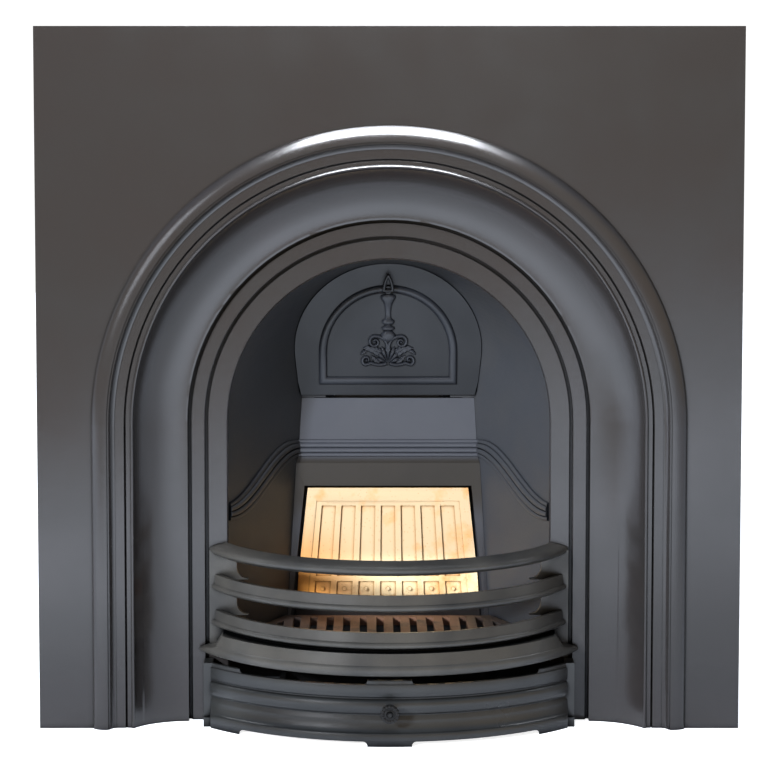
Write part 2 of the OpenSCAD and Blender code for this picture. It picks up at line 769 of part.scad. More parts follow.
module panel_block(w0, w1, v0, v1) {
    on_panel() translate([-far / 2, w0, v0]) cube([far, w1 - w0, v1 - v0]);
}

// a block of the panel, cut to the chamber's plan
module fitted_block(clear, w0, w1, v0, v1) {
    intersection() {
        panel_block(w0, w1, v0, v1);
        linear_extrude(height = far) chamber_plan(clear);
    }
}

module panel_reeds() {
    half = chamber_w(panel_reed_d - reed_h) - 6;
    mid = reed_back_z / cos(panel_lean);
    on_panel() for (layer = reed_layers)
        translate([-half, -layer[2] * reed_h, mid + reed_band * (0.5 - layer[1])])
        cube([2 * half, layer[2] * reed_h + 2, reed_band * (layer[1] - layer[0])]);
}

// side lines of the brick, as half widths up the panel
function brick_side(v) = (brick_foot_w + (brick_top_w - brick_foot_w) * (v - sill_z) / brick_h) / 2;

// flat shape between the brick's side lines, widened on each side
module brick_fan(v0, v1, grow = 0) {
    polygon([[-brick_side(v0) - grow, v0], [brick_side(v0) + grow, v0], [brick_side(v1) + grow, v1],
        [-brick_side(v1) - grow, v1]]);
}

module brick_block(w0, w1, v1, grow, clear) {
    intersection() {
        on_panel() slab(w0, w1) brick_fan(sill_z, v1, grow);
        linear_extrude(height = far) chamber_plan(clear);
    }
}

// raised frame round the brick, with a bevelled top edge
module brick_frame() {
    low = bevel_top - frame_bevel;
    intersection() {
        on_panel() across(-far / 2, far / 2) polygon([[1, panel_bottom_v], [-frame_rise, panel_bottom_v],
            [-frame_rise, low], [0, bevel_top], [1, bevel_top]]);
        linear_extrude(height = far) chamber_plan(panel_gap);
    }
}

module back_panel() color(iron) place() difference() {
    union() {
        fitted_block(panel_gap, 0, panel_t, panel_bottom_v, panel_top_v);
        fitted_block(panel_gap, 1, pocket_w, sill_z - pocket_t, recess_top + pocket_t);
        brick_frame();
        panel_reeds();
        both_sides() translate([wing_in, chamber_back, wing_bottom])
            cube([r_back_flange - wing_in, wing_t, panel_top - wing_bottom]);
    }
    brick_block(-frame_rise - 1, pocket_inner_w, recess_top, brick_gap, panel_gap + strip_w);
    translate([-far / 2, 0, panel_top]) cube([far, far, 20]);
    for (z = panel_bolt_heights) on_jambs(z)
        rod(back_bolt_x, 0, chamber_back - 1, frame_back + 1, bolt_hole_d);
}

// pressed face of the brick: a shallow field, tall hollows above and square ones below, each with a stud
brick_cells = 7;
brick_border = 22.5;
brick_rib = 7.7;
field_sink = 1;
field_margin = 8;
square_low = sill_z + 28;
square_high = sill_z + 50;
tall_low = square_high + 7.5;
tall_high = sill_z + brick_h - 26;
cell_w = (brick_top_w - 2 * brick_border - (brick_cells - 1) * brick_rib) / brick_cells;

// a place across the brick's top, carried down along the fan of its side lines
function fanned(x, v) = x * brick_side(v) / (brick_top_w / 2);

module fanned_cell(x0, x1, v0, v1) {
    polygon([[fanned(x0, v0), v0], [fanned(x1, v0), v0], [fanned(x1, v1), v1], [fanned(x0, v1), v1]]);
}

module fire_brick() color(clay) place() difference() {
    brick_block(brick_set, pocket_inner_w, sill_z + brick_h, 0, panel_gap + strip_w + brick_gap);
    on_panel() brick_hollows();
}

module brick_hollows() {
    left = brick_border - brick_top_w / 2;
    face = brick_set + field_sink;
    slab(brick_set - 1, face)
        fanned_cell(left - field_margin, -left + field_margin, square_low - 9, tall_high + 7);
    for (i = [0:brick_cells - 1]) {
        x0 = left + i * (cell_w + brick_rib);
        mid = (square_low + square_high) / 2;
        slab(face - 1, face + brick_relief) {
            fanned_cell(x0, x0 + cell_w, tall_low, tall_high);
            difference() {
                fanned_cell(x0, x0 + cell_w, square_low, square_high);
                translate([fanned(x0 + cell_w / 2, mid), mid]) circle(d = 5, $fn = 24);
            }
        }
    }
}

// ---- flue door ----

// local frame of the leaning door: X across, Y behind its face, Z up the face
module on_door() { translate([0, door_foot_d, door_z]) rotate([door_lean, 0, 0]) children(); }

// where the hood's inside crosses a plane of the door, at an angle round the arch: across and up the door
function door_edge(a, w, gap) =
    let (t = tan(door_lean), c = cos(door_lean), s = sin(door_lean),
        d0 = door_foot_d + w * c, z0 = door_z + w * s,
        // depth where the straight line of the hood at this angle meets the plane d = d0 - t (z - z0)
        za = arch_z + (opening_r - gap) * sin(a), slope = hood_rise - taper * sin(a),
        d = (d0 - t * (za - slope * ring_back - z0)) / (1 + t * slope),
        z = za + slope * (d - ring_back))
    [(chamber_w(d) - gap) * cos(a), (z - z0) / c];

// half width of the chamber's straight sides on a plane of the door
function door_side(v, w, gap) = chamber_w(door_foot_d + w * cos(door_lean) - v * sin(door_lean)) - gap;

// outline of the door on one of its faces; the lower edge rises towards the back
function door_outline(w) =
    let (foot = [door_side(0, w, door_gap + 2.5), 0.43 * w], side = [door_side(20, w, door_gap), 20])
    concat([foot, side], [for (i = [0:door_steps]) door_edge(180 * i / door_steps, w, door_gap)],
        [[-side[0], side[1]], [-foot[0], foot[1]]]);

module door_plate() {
    on_door() skin([for (w = [0, door_t]) [for (p = door_outline(w)) [p[0], w, p[1]]]]);
}

// raised arch with bevelled edges: solid at its foot radius, smaller at its top
module bevelled_arch(r_foot, r_top, low_foot, low_top, h) {
    intersection() {
        translate([0, 0, door_arch_up]) rotate([90, 0, 0])
            cylinder(r1 = r_foot, r2 = r_top, h = h, $fn = 180);
        translate([-far / 2, -h, door_arch_up]) cube([far, h, far]);
    }
    intersection() {
        linear_extrude(height = door_arch_up) polygon([[-r_foot, 0], [-r_top, -h], [r_top, -h], [r_foot, 0]]);
        across(-far / 2, far / 2) polygon([[0, low_foot], [-h, low_top], [-h, door_arch_up],
            [0, door_arch_up]]);
    }
}

module flue_door() color(iron) place() difference() {
    union() {
        door_plate();
        on_door() difference() {
            translate([0, 0.5, 0]) bevelled_arch(door_arch_r, door_arch_r - door_frame_h, door_frame_up,
                door_frame_up + door_frame_h, door_frame_h + 0.5);
            bevelled_arch(door_arch_r - door_frame_w, door_arch_r - door_frame_w + 3,
                door_frame_up + door_frame_w, door_frame_up + door_frame_w - 3, door_frame_h + 0.1);
        }
        both_sides() translate([hinge_lug_in, 0, 0]) {
            translate([0, hinge_d, hinge_z]) rotate([0, 90, 0])
                cylinder(r = hinge_knuckle_r, h = hinge_lug_t);
            across(0, hinge_lug_t) polygon([[door_foot_d + 4.5, hinge_z + 4],
                [hinge_d, hinge_z - hinge_knuckle_r + 1], [hinge_d + hinge_knuckle_r - 1, hinge_z + 1],
                [door_foot_d + 3, hinge_z + 22]]);
        }
    }
    both_sides() translate([hinge_lug_in - 1, hinge_d, hinge_z]) rotate([0, 90, 0])
        cylinder(d = hinge_pin_d + 2 * hinge_clear, h = hinge_lug_t + 2);
    on_door() rod(0, loop_v, -door_frame_h - 1, door_t - 1.5, loop_peg_d + 0.1);
}

module door_hinge_pins() color(steel) place() both_sides()
    translate([hinge_lug_in - 3, hinge_d, hinge_z]) rotate([0, 90, 0]) {
        cylinder(d = hinge_pin_d, h = hinge_bore_end - hinge_lug_in + 2.5);
        cylinder(d = hinge_pin_d + 3, h = 2.5);
    }

// pointed loop of round wire on a peg
module door_handle() color(iron) place() on_door() translate([0, -loop_stand, loop_v]) {
    half = loop_w / 2 - loop_wire_d / 2;
    rise = loop_h - loop_wire_d;
    off = (rise * rise - half * half) / (2 * half);
    sweep = asin(rise / (off + half));
    both_sides() translate([off, 0, 0]) rotate([90, 0, 0]) rotate([0, 0, 180 - sweep])
        rotate_extrude(angle = sweep) translate([off + half, 0]) circle(d = loop_wire_d, $fn = 32);
    translate([0, 0, rise]) sphere(d = loop_wire_d, $fn = 32);
    both_sides() translate([half, 0, 0]) sphere(d = loop_wire_d, $fn = 32);
    translate([-half, 0, 0]) rotate([0, 90, 0]) cylinder(d = loop_wire_d, h = 2 * half, $fn = 32);
    rod(0, 0, 0, loop_stand + door_t - 2.5, loop_peg_d);
    rod(0, 0, loop_stand - door_frame_h - 4, loop_stand - door_frame_h, loop_peg_d + 6);
}

// ---- grate ----

module grate_plan(border) {
    intersection() {
        translate([0, bars_centre_d]) circle(r = grate_r - border, $fn = 180);
        polygon([[grate_back_w - border, grate_back - border], [grate_half_w - border, ring_back],
            [grate_half_w - border, -far], [border - grate_half_w, -far],
            [border - grate_half_w, ring_back], [border - grate_back_w, grate_back - border]]);
    }
}

module bottom_grate() color(rusty_iron) place() {
    translate([0, 0, grate_z - grate_t]) linear_extrude(height = grate_t) difference() {
        grate_plan(0);
        intersection() {
            grate_plan(grate_border);
            for (i = [0:slots_a_side - 1]) both_sides()
                translate([slot_pitch * (i + 0.5) - slot_w / 2, -far / 2]) square([slot_w, far]);
        }
    }
    translate([-grate_back_w + 26, 92, grate_z - grate_t - 11]) cube([2 * grate_back_w - 52, 8, 12]);
}

// ---- front bars ----

// a profile of radius and height, turned about an upright axis at a depth, in front of a limit
module bowed(axis_d, limit_d) {
    difference() {
        translate([0, axis_d, 0]) rotate([0, 0, 180]) rotate_extrude(angle = 180, $fn = 180) children();
        translate([-far / 2, limit_d, -far / 2]) cube([far, far, far]);
    }
}

module top_bar_profile(z) {
    polygon(concat([[bar_in_r, z - bar_h + 1], [bar_in_r, z - 1], [bar_in_r + 1, z], [bar_r - 6, z - 4.5]],
        arc(bar_r - 6, z - 10.5, 6, 5, 60, -70, 8),
        [[bar_r - 9, z - bar_h]]));
}

module hollow_bar_profile(z) {
    polygon(concat([[bar_in_r, z - bar_h + 2], [bar_in_r, z - 1], [bar_in_r + 1, z]],
        arc(bar_r - 5, z, bar_w - 7, -6.2, 180, 270, 8),
        arc(bar_r - 5, z - 11, 5, 4.4, 75, -70, 8),
        [[bar_r - 8, z - bar_h + 0.6]]));
}

module ledge_profile() {
    top = ledge_z + ledge_h;
    in_r = ledge_r - 46;
    polygon(concat([[in_r, top - 14], [in_r, top], [ledge_r - 25, top]],
        arc(ledge_r - 4, top, 21, -13.5, 180, 262, 10),
        arc(ledge_r - 5, ledge_z + 8, 5, 7.5, 70, -60, 10),
        [[ledge_r - 7, ledge_z], [ledge_r - 14, ledge_z], [ledge_r - 18, top - 16]]));
}

// front outline of the ledge: its ends taper to thin tips
module ledge_outline() {
    top = ledge_z + ledge_h;
    both_sides() polygon([[-1, ledge_z - 1], [ledge_tip, ledge_z - 1], [ledge_tip, ledge_z + 5],
        [ledge_tip - 24, ledge_z + 14], [ledge_tip - 34, top + 1], [-1, top + 1]]);
}

module apron_profile() {
    translate([bar_in_r, ledge_z + 14]) square([8, ledge_h - 6]);
}

module keyhole() {
    chamber = stud_head_d + 1;
    slot = stud_d + 0.8;
    d2 = bars_back - keyhole_lip;
    d1 = d2 - stud_head_t - 0.8;
    for (part = [[d1, d2 + 0.01, chamber], [d2, bars_back + 1, slot]]) slab(part[0], part[1]) {
        circle(d = part[2]);
        translate([-part[2] / 2, -bars_lift]) square([part[2], bars_lift]);
        translate([0, -bars_lift]) circle(d = part[2]);
    }
    slab(d1, bars_back + 1) translate([0, -bars_lift]) circle(d = chamber);
}

module at_studs() { for (z = stud_heights) on_jambs(z) translate([stud_x, 0, 0]) children(); }

module end_plate() {
    z0 = ledge_z + 4;
    slab(end_plate_front, bars_back) {
        translate([end_plate_in, z0]) square([end_plate_out - end_plate_in, end_plate_top - z0]);
        for (i = [1, 2]) translate([end_plate_in - end_plate_corner, bar_top_z - i * bar_pitch - 1])
            difference() {
                square([end_plate_corner + 1, end_plate_corner + 1]);
                translate([0, end_plate_corner + 1]) circle(r = end_plate_corner, $fn = 96);
            }
    }
}

module front_bars() color(iron) place() difference() {
    union() {
        intersection() {
            bowed(bars_centre_d, bars_back) {
                top_bar_profile(bar_top_z);
                hollow_bar_profile(bar_top_z - bar_pitch);
                hollow_bar_profile(bar_top_z - 2 * bar_pitch);
                apron_profile();
            }
            translate([-end_plate_out, -far / 2, 0]) cube([2 * end_plate_out, far, far]);
        }
        intersection() {
            bowed(ledge_centre_d, ledge_back) ledge_profile();
            difference() {
                slab(-far / 2, far / 2) ledge_outline();
                translate([0, bars_centre_d, 0]) cylinder(r = bar_in_r, h = far, $fn = 180);
            }
        }
        both_sides() end_plate();
    }
    at_studs() keyhole();
}

module bar_studs() color(steel) place() at_studs() {
    rod(0, 0, bars_back - keyhole_lip - stud_head_t - 0.4, bars_back - keyhole_lip - 0.4, stud_head_d);
    rod(0, 0, bars_back - keyhole_lip - 1, ring_inner_face + stud_tap_depth - 0.5, stud_d);
}

// ---- ash cover ----

module cover_profile() {
    lip_z = foot_h + 11;
    groove = 2;
    polygon(concat(
        [[cover_r - 9, 0], [cover_r - 1.5, 0], [cover_r - 1, foot_h], [cover_r, foot_h + 1.5],
            [cover_r, lip_z - 2], [cover_r - 1, lip_z]],
        arc(cover_r - 1, 39.5, cover_r - 1 - cover_face_r, 39.5 - lip_z, 262, 188, 8),
        [[cover_face_r - groove, 40], [cover_face_r - groove, 42]],
        arc(cover_face_r - 1, 52.25, cover_bead_r - cover_face_r + 1, 10, -80, 80, 12),
        [[cover_face_r - groove, 62.5], [cover_face_r - groove, 64.5], [cover_face_r, 66],
            [cover_face_r, cover_h], [cover_face_r - tab_step, cover_h + 0.5],
            [cover_face_r - tab_step, cover_h + tab_h - 1], [cover_face_r - tab_step - 1, cover_h + tab_h],
            [cover_in_r, cover_h + tab_h], [cover_in_r, lip_z + 10]]));
}
tab_step = 2;
cover_strip_d = cover_centre_d - sqrt(pow(cover_face_r, 2) - pow(cover_half_w - cover_margin, 2)) + 1;

// front outline of the cover: tabs above, feet below, with rounded notches between them
module cover_outline() {
    top = cover_h + tab_h;
    round_r = 6;
    difference() {
        translate([-cover_half_w, 0]) square([2 * cover_half_w, top]);
        both_sides() for (low = [0, 1]) {
            z0 = low == 1 ? -1 : cover_h;
            z1 = low == 1 ? foot_h : top + 1;
            rr = min(round_r, z1 - z0 - 1.5);
            difference() {
                translate([mid_tab_w, z0]) square([side_tab_in - mid_tab_w, z1 - z0]);
                for (x = [mid_tab_w, side_tab_in - rr]) translate([x, low == 1 ? z1 - rr : z0])
                    square([rr, rr]);
            }
            for (x = [mid_tab_w + rr, side_tab_in - rr]) translate([x, low == 1 ? z1 - rr : z0 + rr])
                circle(r = rr, $fn = 48);
        }
    }
}

module ash_cover() color(iron) place() difference() {
    union() {
        intersection() {
            bowed(cover_centre_d, ring_face_d) cover_profile();
            slab(-far / 4, cover_back) cover_outline();
            translate([cover_margin - cover_half_w, -far / 2, 0])
                cube([2 * (cover_half_w - cover_margin), far, far]);
        }
        both_sides() cover_return();
        rod(0, knob_z, knob_seat_d, knob_seat_d + 6, 16);
        rod(0, knob_z, nut_seat_d - 5, nut_seat_d, 18);
    }
    rod(0, knob_z, knob_seat_d - 1, nut_seat_d + 1, knob_stud_d + 0.6);
}

// side of the cover: a flat margin beside the mouldings, carried back to the ring
module cover_return() {
    run = cover_margin + 2;
    translate([cover_half_w - run, cover_strip_d, foot_h])
        cube([run, cover_back - cover_strip_d, cover_h + tab_h - foot_h]);
    translate([cover_half_w - run, cover_strip_d - 6, 0]) cube([run, 14, foot_h + 6]);
}

// rosette knob: a neck, a dished plate, a ring of petals and a button
module cover_knob() color(iron) place() difference() {
    petals = 16;
    tip = knob_seat_d - knob_reach;
    union() {
        rod(0, knob_z, tip + 9, knob_seat_d, 10);
        rod(0, knob_z, knob_seat_d - 3, knob_seat_d, 15);
        rod(0, knob_z, tip + 5, tip + 10, knob_d - 6);
        for (i = [0:petals - 1]) translate([0, tip + 7, knob_z]) rotate([0, 360 * i / petals, 0])
            translate([knob_d / 2 - 3.1, 0, 0]) sphere(d = 6.2, $fn = 24);
        translate([0, tip + 5.5, knob_z]) rotate([90, 0, 0]) rotate_extrude()
            translate([5.2, 0]) circle(r = 1.6, $fn = 24);
        rod(0, knob_z, tip + 2, tip + 6, 7);
        rod(0, knob_z, tip, tip + 3, 5);
    }
    rod(0, knob_z, tip + 10, knob_seat_d + 1, knob_stud_d + 0.1);
}

module knob_stud() color(steel) place()
    rod(0, knob_z, knob_seat_d - knob_reach + 11, nut_seat_d + 7, knob_stud_d);

module knob_nut() color(steel) place() difference() {
    translate([0, nut_seat_d, knob_z]) rotate([-90, 0, 0])
        cylinder(d = bolt_flats / cos(30) + 2, h = 5, $fn = 6);
    rod(0, knob_z, nut_seat_d - 1, nut_seat_d + 6, knob_stud_d + 0.1);
}

// ---- ash pan ----

module rounded(w, d0, d1, r) {
    translate([-w / 2, d0 + r]) square([w, d1 - d0 - 2 * r]);
    translate([-w / 2 + r, d0]) square([w - 2 * r, d1 - d0]);
    for (x = [r - w / 2, w / 2 - r], d = [d0 + r, d1 - r]) translate([x, d]) circle(r = r, $fn = 64);
}

module ash_pan() color(pan_steel) place() difference() {
    union() {
        linear_extrude(height = pan_h) rounded(pan_w, pan_front, pan_back, pan_corner);
        translate([0, 0, pan_h - pan_t]) linear_extrude(height = pan_t)
            rounded(pan_w + 2 * pan_rim, pan_front - pan_rim, pan_back + pan_rim, pan_corner + pan_rim);
    }
    translate([0, 0, pan_t]) linear_extrude(height = pan_h)
        rounded(pan_w - 2 * pan_t, pan_front + pan_t, pan_back - pan_t, pan_corner - pan_t);
    at_pan_rivets() rod(0, 0, pan_front - 1, pan_front + pan_t + 1, pan_rivet_d + 0.1);
}
pan_rivet_d = 4;
pan_grip_w = 70;
pan_grip_z = 24;

module at_pan_rivets() { on_jambs(pan_grip_z) translate([pan_grip_w / 2, 0, 0]) children(); }

// pressed strap handle: two flat feet and a bar that stands off the pan
module pan_handle() color(steel) place() difference() {
    t = 2;
    union() {
        both_sides() translate([pan_grip_w / 2 - 8, pan_front - t, pan_grip_z - 8]) cube([16, t, 16]);
        both_sides() translate([pan_grip_w / 2 - 8, pan_front - 14, pan_grip_z - 8]) cube([t, 14, 16]);
        translate([8 - pan_grip_w / 2, pan_front - 14, pan_grip_z - 8]) cube([pan_grip_w - 16, t, 16]);
    }
    at_pan_rivets() rod(0, 0, pan_front - t - 1, pan_front + 1, pan_rivet_d + 0.1);
}

module pan_rivets() color(steel) place() at_pan_rivets() {
    rod(0, 0, pan_front - 2 - 1.5, pan_front - 2, pan_rivet_d + 4);
    rod(0, 0, pan_front - 2.5, pan_front + pan_t + 0.5, pan_rivet_d);
    rod(0, 0, pan_front + pan_t, pan_front + pan_t + 1.5, pan_rivet_d + 3);
}

face_plate();
arch_ring();
ring_clamps();
ring_bolts();
cheek_left();
cheek_right();
smoke_hood();
front_flange_bolts();
flue_frame();
back_flange_bolts();
back_panel();
fire_brick();
flue_door();
door_handle();
door_hinge_pins();
bottom_grate();
front_bars();
bar_studs();
ash_cover();
cover_knob();
knob_stud();
knob_nut();
ash_pan();
pan_handle();
pan_rivets();
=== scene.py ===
import math

import bmesh
import bpy
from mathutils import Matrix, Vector


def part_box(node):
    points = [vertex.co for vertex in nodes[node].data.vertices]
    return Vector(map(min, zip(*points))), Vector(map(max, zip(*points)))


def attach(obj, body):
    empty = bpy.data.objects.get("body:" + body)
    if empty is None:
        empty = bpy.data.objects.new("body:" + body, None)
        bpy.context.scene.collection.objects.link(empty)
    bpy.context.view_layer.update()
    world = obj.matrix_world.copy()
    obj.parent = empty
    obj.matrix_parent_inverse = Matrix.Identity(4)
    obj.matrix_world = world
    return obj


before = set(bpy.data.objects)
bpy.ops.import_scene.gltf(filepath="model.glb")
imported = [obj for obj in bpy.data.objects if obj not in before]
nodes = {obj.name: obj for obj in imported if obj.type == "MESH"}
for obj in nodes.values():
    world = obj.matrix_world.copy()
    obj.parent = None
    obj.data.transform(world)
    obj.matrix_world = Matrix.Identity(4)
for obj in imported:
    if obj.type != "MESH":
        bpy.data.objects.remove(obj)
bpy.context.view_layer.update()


# ---- Camera -------------------------------------------------------------------------------
# Stands 3.09 m in front of the plate, 0.81 m above the hearth, and an inch left of the centre line.
# The photograph was taken level. This camera tips down by four degrees instead, so that its shift
# stays small and the views from other sides hold the whole object.

# the crest of the outer moulding stands this far in front of the plate's face
crest_reach = 0.011
plate_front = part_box("face_plate")[0].y + crest_reach
tip_down = 3.93


def place(x, depth, z):
    """A point from millimetres: across, behind the front of the face plate, and up."""
    return Vector((x / 1000, plate_front + depth / 1000, z / 1000))


camera = bpy.data.objects.new("camera", bpy.data.cameras.new("camera"))
bpy.context.collection.objects.link(camera)
camera.location = place(-28, -3086, 808)
camera.rotation_euler = (math.radians(90 - tip_down), 0, 0)
camera.data.lens = 104.8
camera.data.sensor_width = 36
camera.data.shift_x = 0.0266
camera.data.shift_y = -0.1175
camera.data.clip_end = 60
bpy.context.scene.camera = camera


# ---- Face plate ---------------------------------------------------------------------------
# The square plate that closes the chimney opening, cast in iron with its arched mouldings.
# Sand cast, ground, and rubbed with graphite stove blacking to a deep soft polish.

def colour(hex_value):
    """An sRGB hex colour as the linear colour that a shader takes."""
    channels = [int(hex_value[i:i + 2], 16) / 255 for i in (1, 3, 5)]
    return [c / 12.92 if c <= 0.04045 else ((c + 0.055) / 1.055) ** 2.4 for c in channels] + [1.0]


def add(tree, kind, settings=None, values=None, links=None):
    """Adds one shader node with its own settings, its sockets' values and the links into it."""
    node = tree.nodes.new(kind)
    for name, value in (settings or {}).items():
        setattr(node, name, value)
    for socket, value in (values or {}).items():
        node.inputs[socket].default_value = value
    for socket, source in (links or {}).items():
        tree.links.new(source, node.inputs[socket])
    return node


def blank_material(name):
    """A new material with an empty node tree, and that tree."""
    material = bpy.data.materials.new(name)
    material.use_nodes = True
    material.node_tree.nodes.clear()
    return material, material.node_tree


# settings that many nodes share: a ramp with eased ends, and a mix of two colours
smooth = {"interpolation_type": "SMOOTHSTEP"}
coloured = {"data_type": "RGBA"}


def blacked_iron(name, dark, worn, tooth, grain_mm, rubbed_rough, dull_rough, film_ior=1.65, quirk_mm=9):
    """Cast iron under graphite blacking: the sand's grain shows as a fine tooth, the metal between
    grinding strokes is a little wavy, and the rubbed film is warmer and glossier in patches.
    In the quirks of the mouldings its colour and shine are painted darker, as painted shade."""
    material, tree = blank_material(name)
    spot = add(tree, "ShaderNodeTexCoord").outputs["Object"]
    # patches as wide as a hand, where the cloth has rubbed more or less
    patches = add(tree, "ShaderNodeTexNoise", links={"Vector": spot},
                  values={"Scale": 1 / 0.11, "Detail": 3.0, "Roughness": 0.55})
    # sand grain, drawn about twice as coarse as it is so that it shows
    grain = add(tree, "ShaderNodeTexNoise", links={"Vector": spot},
                values={"Scale": 1000 / grain_mm, "Detail": 4.0, "Roughness": 0.6})
    # waves of 16 mm that the grinding wheel left
    waves = add(tree, "ShaderNodeTexNoise", links={"Vector": spot},
                values={"Scale": 1 / 0.016, "Detail": 1.0})
    tone = add(tree, "ShaderNodeMapRange", links={"Value": patches.outputs["Fac"]},
               values={"From Min": 0.35, "From Max": 0.68, "To Min": 0.35})
    # a quirk is anything closed in on this scale
    open_air = add(tree, "ShaderNodeAmbientOcclusion", {"samples": 6}, {"Distance": quirk_mm / 1000})
    # painted shade: colour and shine are darkened wherever the occlusion finds a quirk
    painted_quirk_shade = add(tree, "ShaderNodeMapRange", smooth, links={"Value": open_air.outputs["AO"]},
                 values={"From Min": 0.3, "From Max": 0.88, "To Min": 0.1, "To Max": 1.0})
    # the random wear, held back in the quirks as painted shade
    wear_and_quirk_shade = add(tree, "ShaderNodeMath", {"operation": "MULTIPLY"},
               links={0: tone.outputs["Result"], 1: painted_quirk_shade.outputs["Result"]})
    base = add(tree, "ShaderNodeMix", coloured, {"A": colour(dark), "B": colour(worn)},
               {"Factor": wear_and_quirk_shade.outputs["Value"]})
    speckle = add(tree, "ShaderNodeMapRange", links={"Value": grain.outputs["Fac"]},
                  values={"From Min": 0.3, "From Max": 0.75, "To Min": 0.82, "To Max": 1.22})
    base = add(tree, "ShaderNodeVectorMath", {"operation": "SCALE"},
               links={0: base.outputs["Result"], "Scale": speckle.outputs["Result"]})
    # painted shade: the colour is darkened in the quirks
    base = add(tree, "ShaderNodeVectorMath", {"operation": "SCALE"},
               links={0: base.outputs["Vector"], "Scale": painted_quirk_shade.outputs["Result"]})
    gloss = add(tree, "ShaderNodeMapRange", links={"Value": patches.outputs["Fac"]},
                values={"From Min": 0.3, "From Max": 0.7, "To Min": dull_rough, "To Max": rubbed_rough})
    # the shader's usual level of 0.5, held back in the quirks as painted shade
    quirk_shaded_shine = add(tree, "ShaderNodeMath", {"operation": "MULTIPLY"}, {1: 0.5}, {0: painted_quirk_shade.outputs["Result"]})
    low = add(tree, "ShaderNodeBump", values={"Strength": 0.35, "Distance": 0.0002},
              links={"Height": waves.outputs["Fac"]})
    fine = add(tree, "ShaderNodeBump", values={"Strength": tooth, "Distance": 0.0002},
               links={"Height": grain.outputs["Fac"], "Normal": low.outputs["Normal"]})
    shader = add(tree, "ShaderNodeBsdfPrincipled", values={"IOR": film_ior},
                 links={"Base Color": base.outputs["Vector"], "Roughness": gloss.outputs["Result"],
                        "Specular IOR Level": quirk_shaded_shine.outputs["Value"], "Normal": fine.outputs["Normal"]})
    add(tree, "ShaderNodeOutputMaterial", links={"Surface": shader.outputs["BSDF"]})
    return material


def finish_casting(name, material, edge_mm):
    """Gives a CAD piece its material, and the small round that a casting has on every edge.
    A width of nought leaves the edges as they are."""
    piece = nodes[name]
    piece.data.materials.clear()
    piece.data.materials.append(material)
    weld = piece.modifiers.new("one skin", "WELD")
    weld.merge_threshold = 0.00001
    if edge_mm:
        bevel = piece.modifiers.new("cast edge", "BEVEL")
        bevel.width = edge_mm / 1000
        bevel.segments = 2
        bevel.limit_method = "ANGLE"
        # the facets of a round surface meet flatter than this
        bevel.angle_limit = math.radians(32)


stove_black = blacked_iron("stove_blacked_cast_iron", "#232221", "#282524", tooth=0.25, grain_mm=1.1,
                           rubbed_rough=0.17, dull_rough=0.23)
finish_casting("face_plate", stove_black, edge_mm=0.5)


# ---- Arch ring ----------------------------------------------------------------------------
# The inner frame of the arch, one iron casting that runs down to the hearth as two jambs.
# It sits in a rebate behind the plate's cove, held by seven clamps, and is blacked with the plate.

finish_casting("arch_ring", stove_black, edge_mm=0.5)


# ---- Clamps and bolts ---------------------------------------------------------------------
# Steel straps and hexagon bolts that hold the ring to the plate, and the bolts of the flanges.
# All of them stand behind the plate and were left as they came, dull and dry.

def plain_steel(name, dark, light, grain_mm, rough):
    """Rolled steel with its thin grey oxide: a metal with a fine drawn grain and dull patches."""
    material, tree = blank_material(name)
    spot = add(tree, "ShaderNodeTexCoord").outputs["Object"]
    # oxide in patches of 9 mm
    film = add(tree, "ShaderNodeTexNoise", values={"Scale": 1 / 0.009, "Detail": 5.0}, links={"Vector": spot})
    grain = add(tree, "ShaderNodeTexNoise", links={"Vector": spot},
                values={"Scale": 1000 / grain_mm, "Detail": 2.0})
    base = add(tree, "ShaderNodeMix", coloured, {"A": colour(dark), "B": colour(light)},
               {"Factor": film.outputs["Fac"]})
    dull = add(tree, "ShaderNodeMapRange", values={"To Min": rough - 0.1, "To Max": rough + 0.12},
               links={"Value": film.outputs["Fac"]})
    bump = add(tree, "ShaderNodeBump", values={"Strength": 0.25, "Distance": 0.0001},
               links={"Height": grain.outputs["Fac"]})
    shader = add(tree, "ShaderNodeBsdfPrincipled", values={"Metallic": 1.0},
                 links={"Base Color": base.outputs["Result"], "Roughness": dull.outputs["Result"],
                        "Normal": bump.outputs["Normal"]})
    add(tree, "ShaderNodeOutputMaterial", links={"Surface": shader.outputs["BSDF"]})
    return material


dry_steel = plain_steel("dry_rolled_steel", "#56565a", "#83837f", grain_mm=0.8, rough=0.5)
for name in ("ring_clamps", "ring_bolts", "front_flange_bolts", "back_flange_bolts"):
    finish_casting(name, dry_steel, edge_mm=0.3)


# ---- Cheeks -------------------------------------------------------------------------------
# Two splayed iron sides of the fire chamber, bolted to the ring and to the back.
# Each carries a moulding of four reeds that sweeps up to the back panel, cast with it.
# Blacked like the rest, but duller where smoke and heat have been.

fire_black = blacked_iron("fire_dulled_cast_iron", "#303338", "#383838", tooth=0.5, grain_mm=1.4,
                          rubbed_rough=0.40, dull_rough=0.52, film_ior=1.48)
finish_casting("cheek_left", fire_black, edge_mm=0)
finish_casting("cheek_right", fire_black, edge_mm=0)


def cast_skin(name, rings, material, body, closed=False):
    """One cast piece as a skin through rows of points, capped at its ends unless it closes on itself."""
    build = bmesh.new()
    rows = [[build.verts.new(point) for point in ring] for ring in rings]
    for near, far in zip(rows, rows[1:] + (rows[:1] if closed else [])):
        for i in range(len(near)):
            j = (i + 1) % len(near)
            build.faces.new((near[i], near[j], far[j], far[i]))
    if not closed:
        build.faces.new(rows[0][::-1])
        build.faces.new(rows[-1])
    bmesh.ops.recalc_face_normals(build, faces=build.faces)
    cast_piece(name, build, material, body)


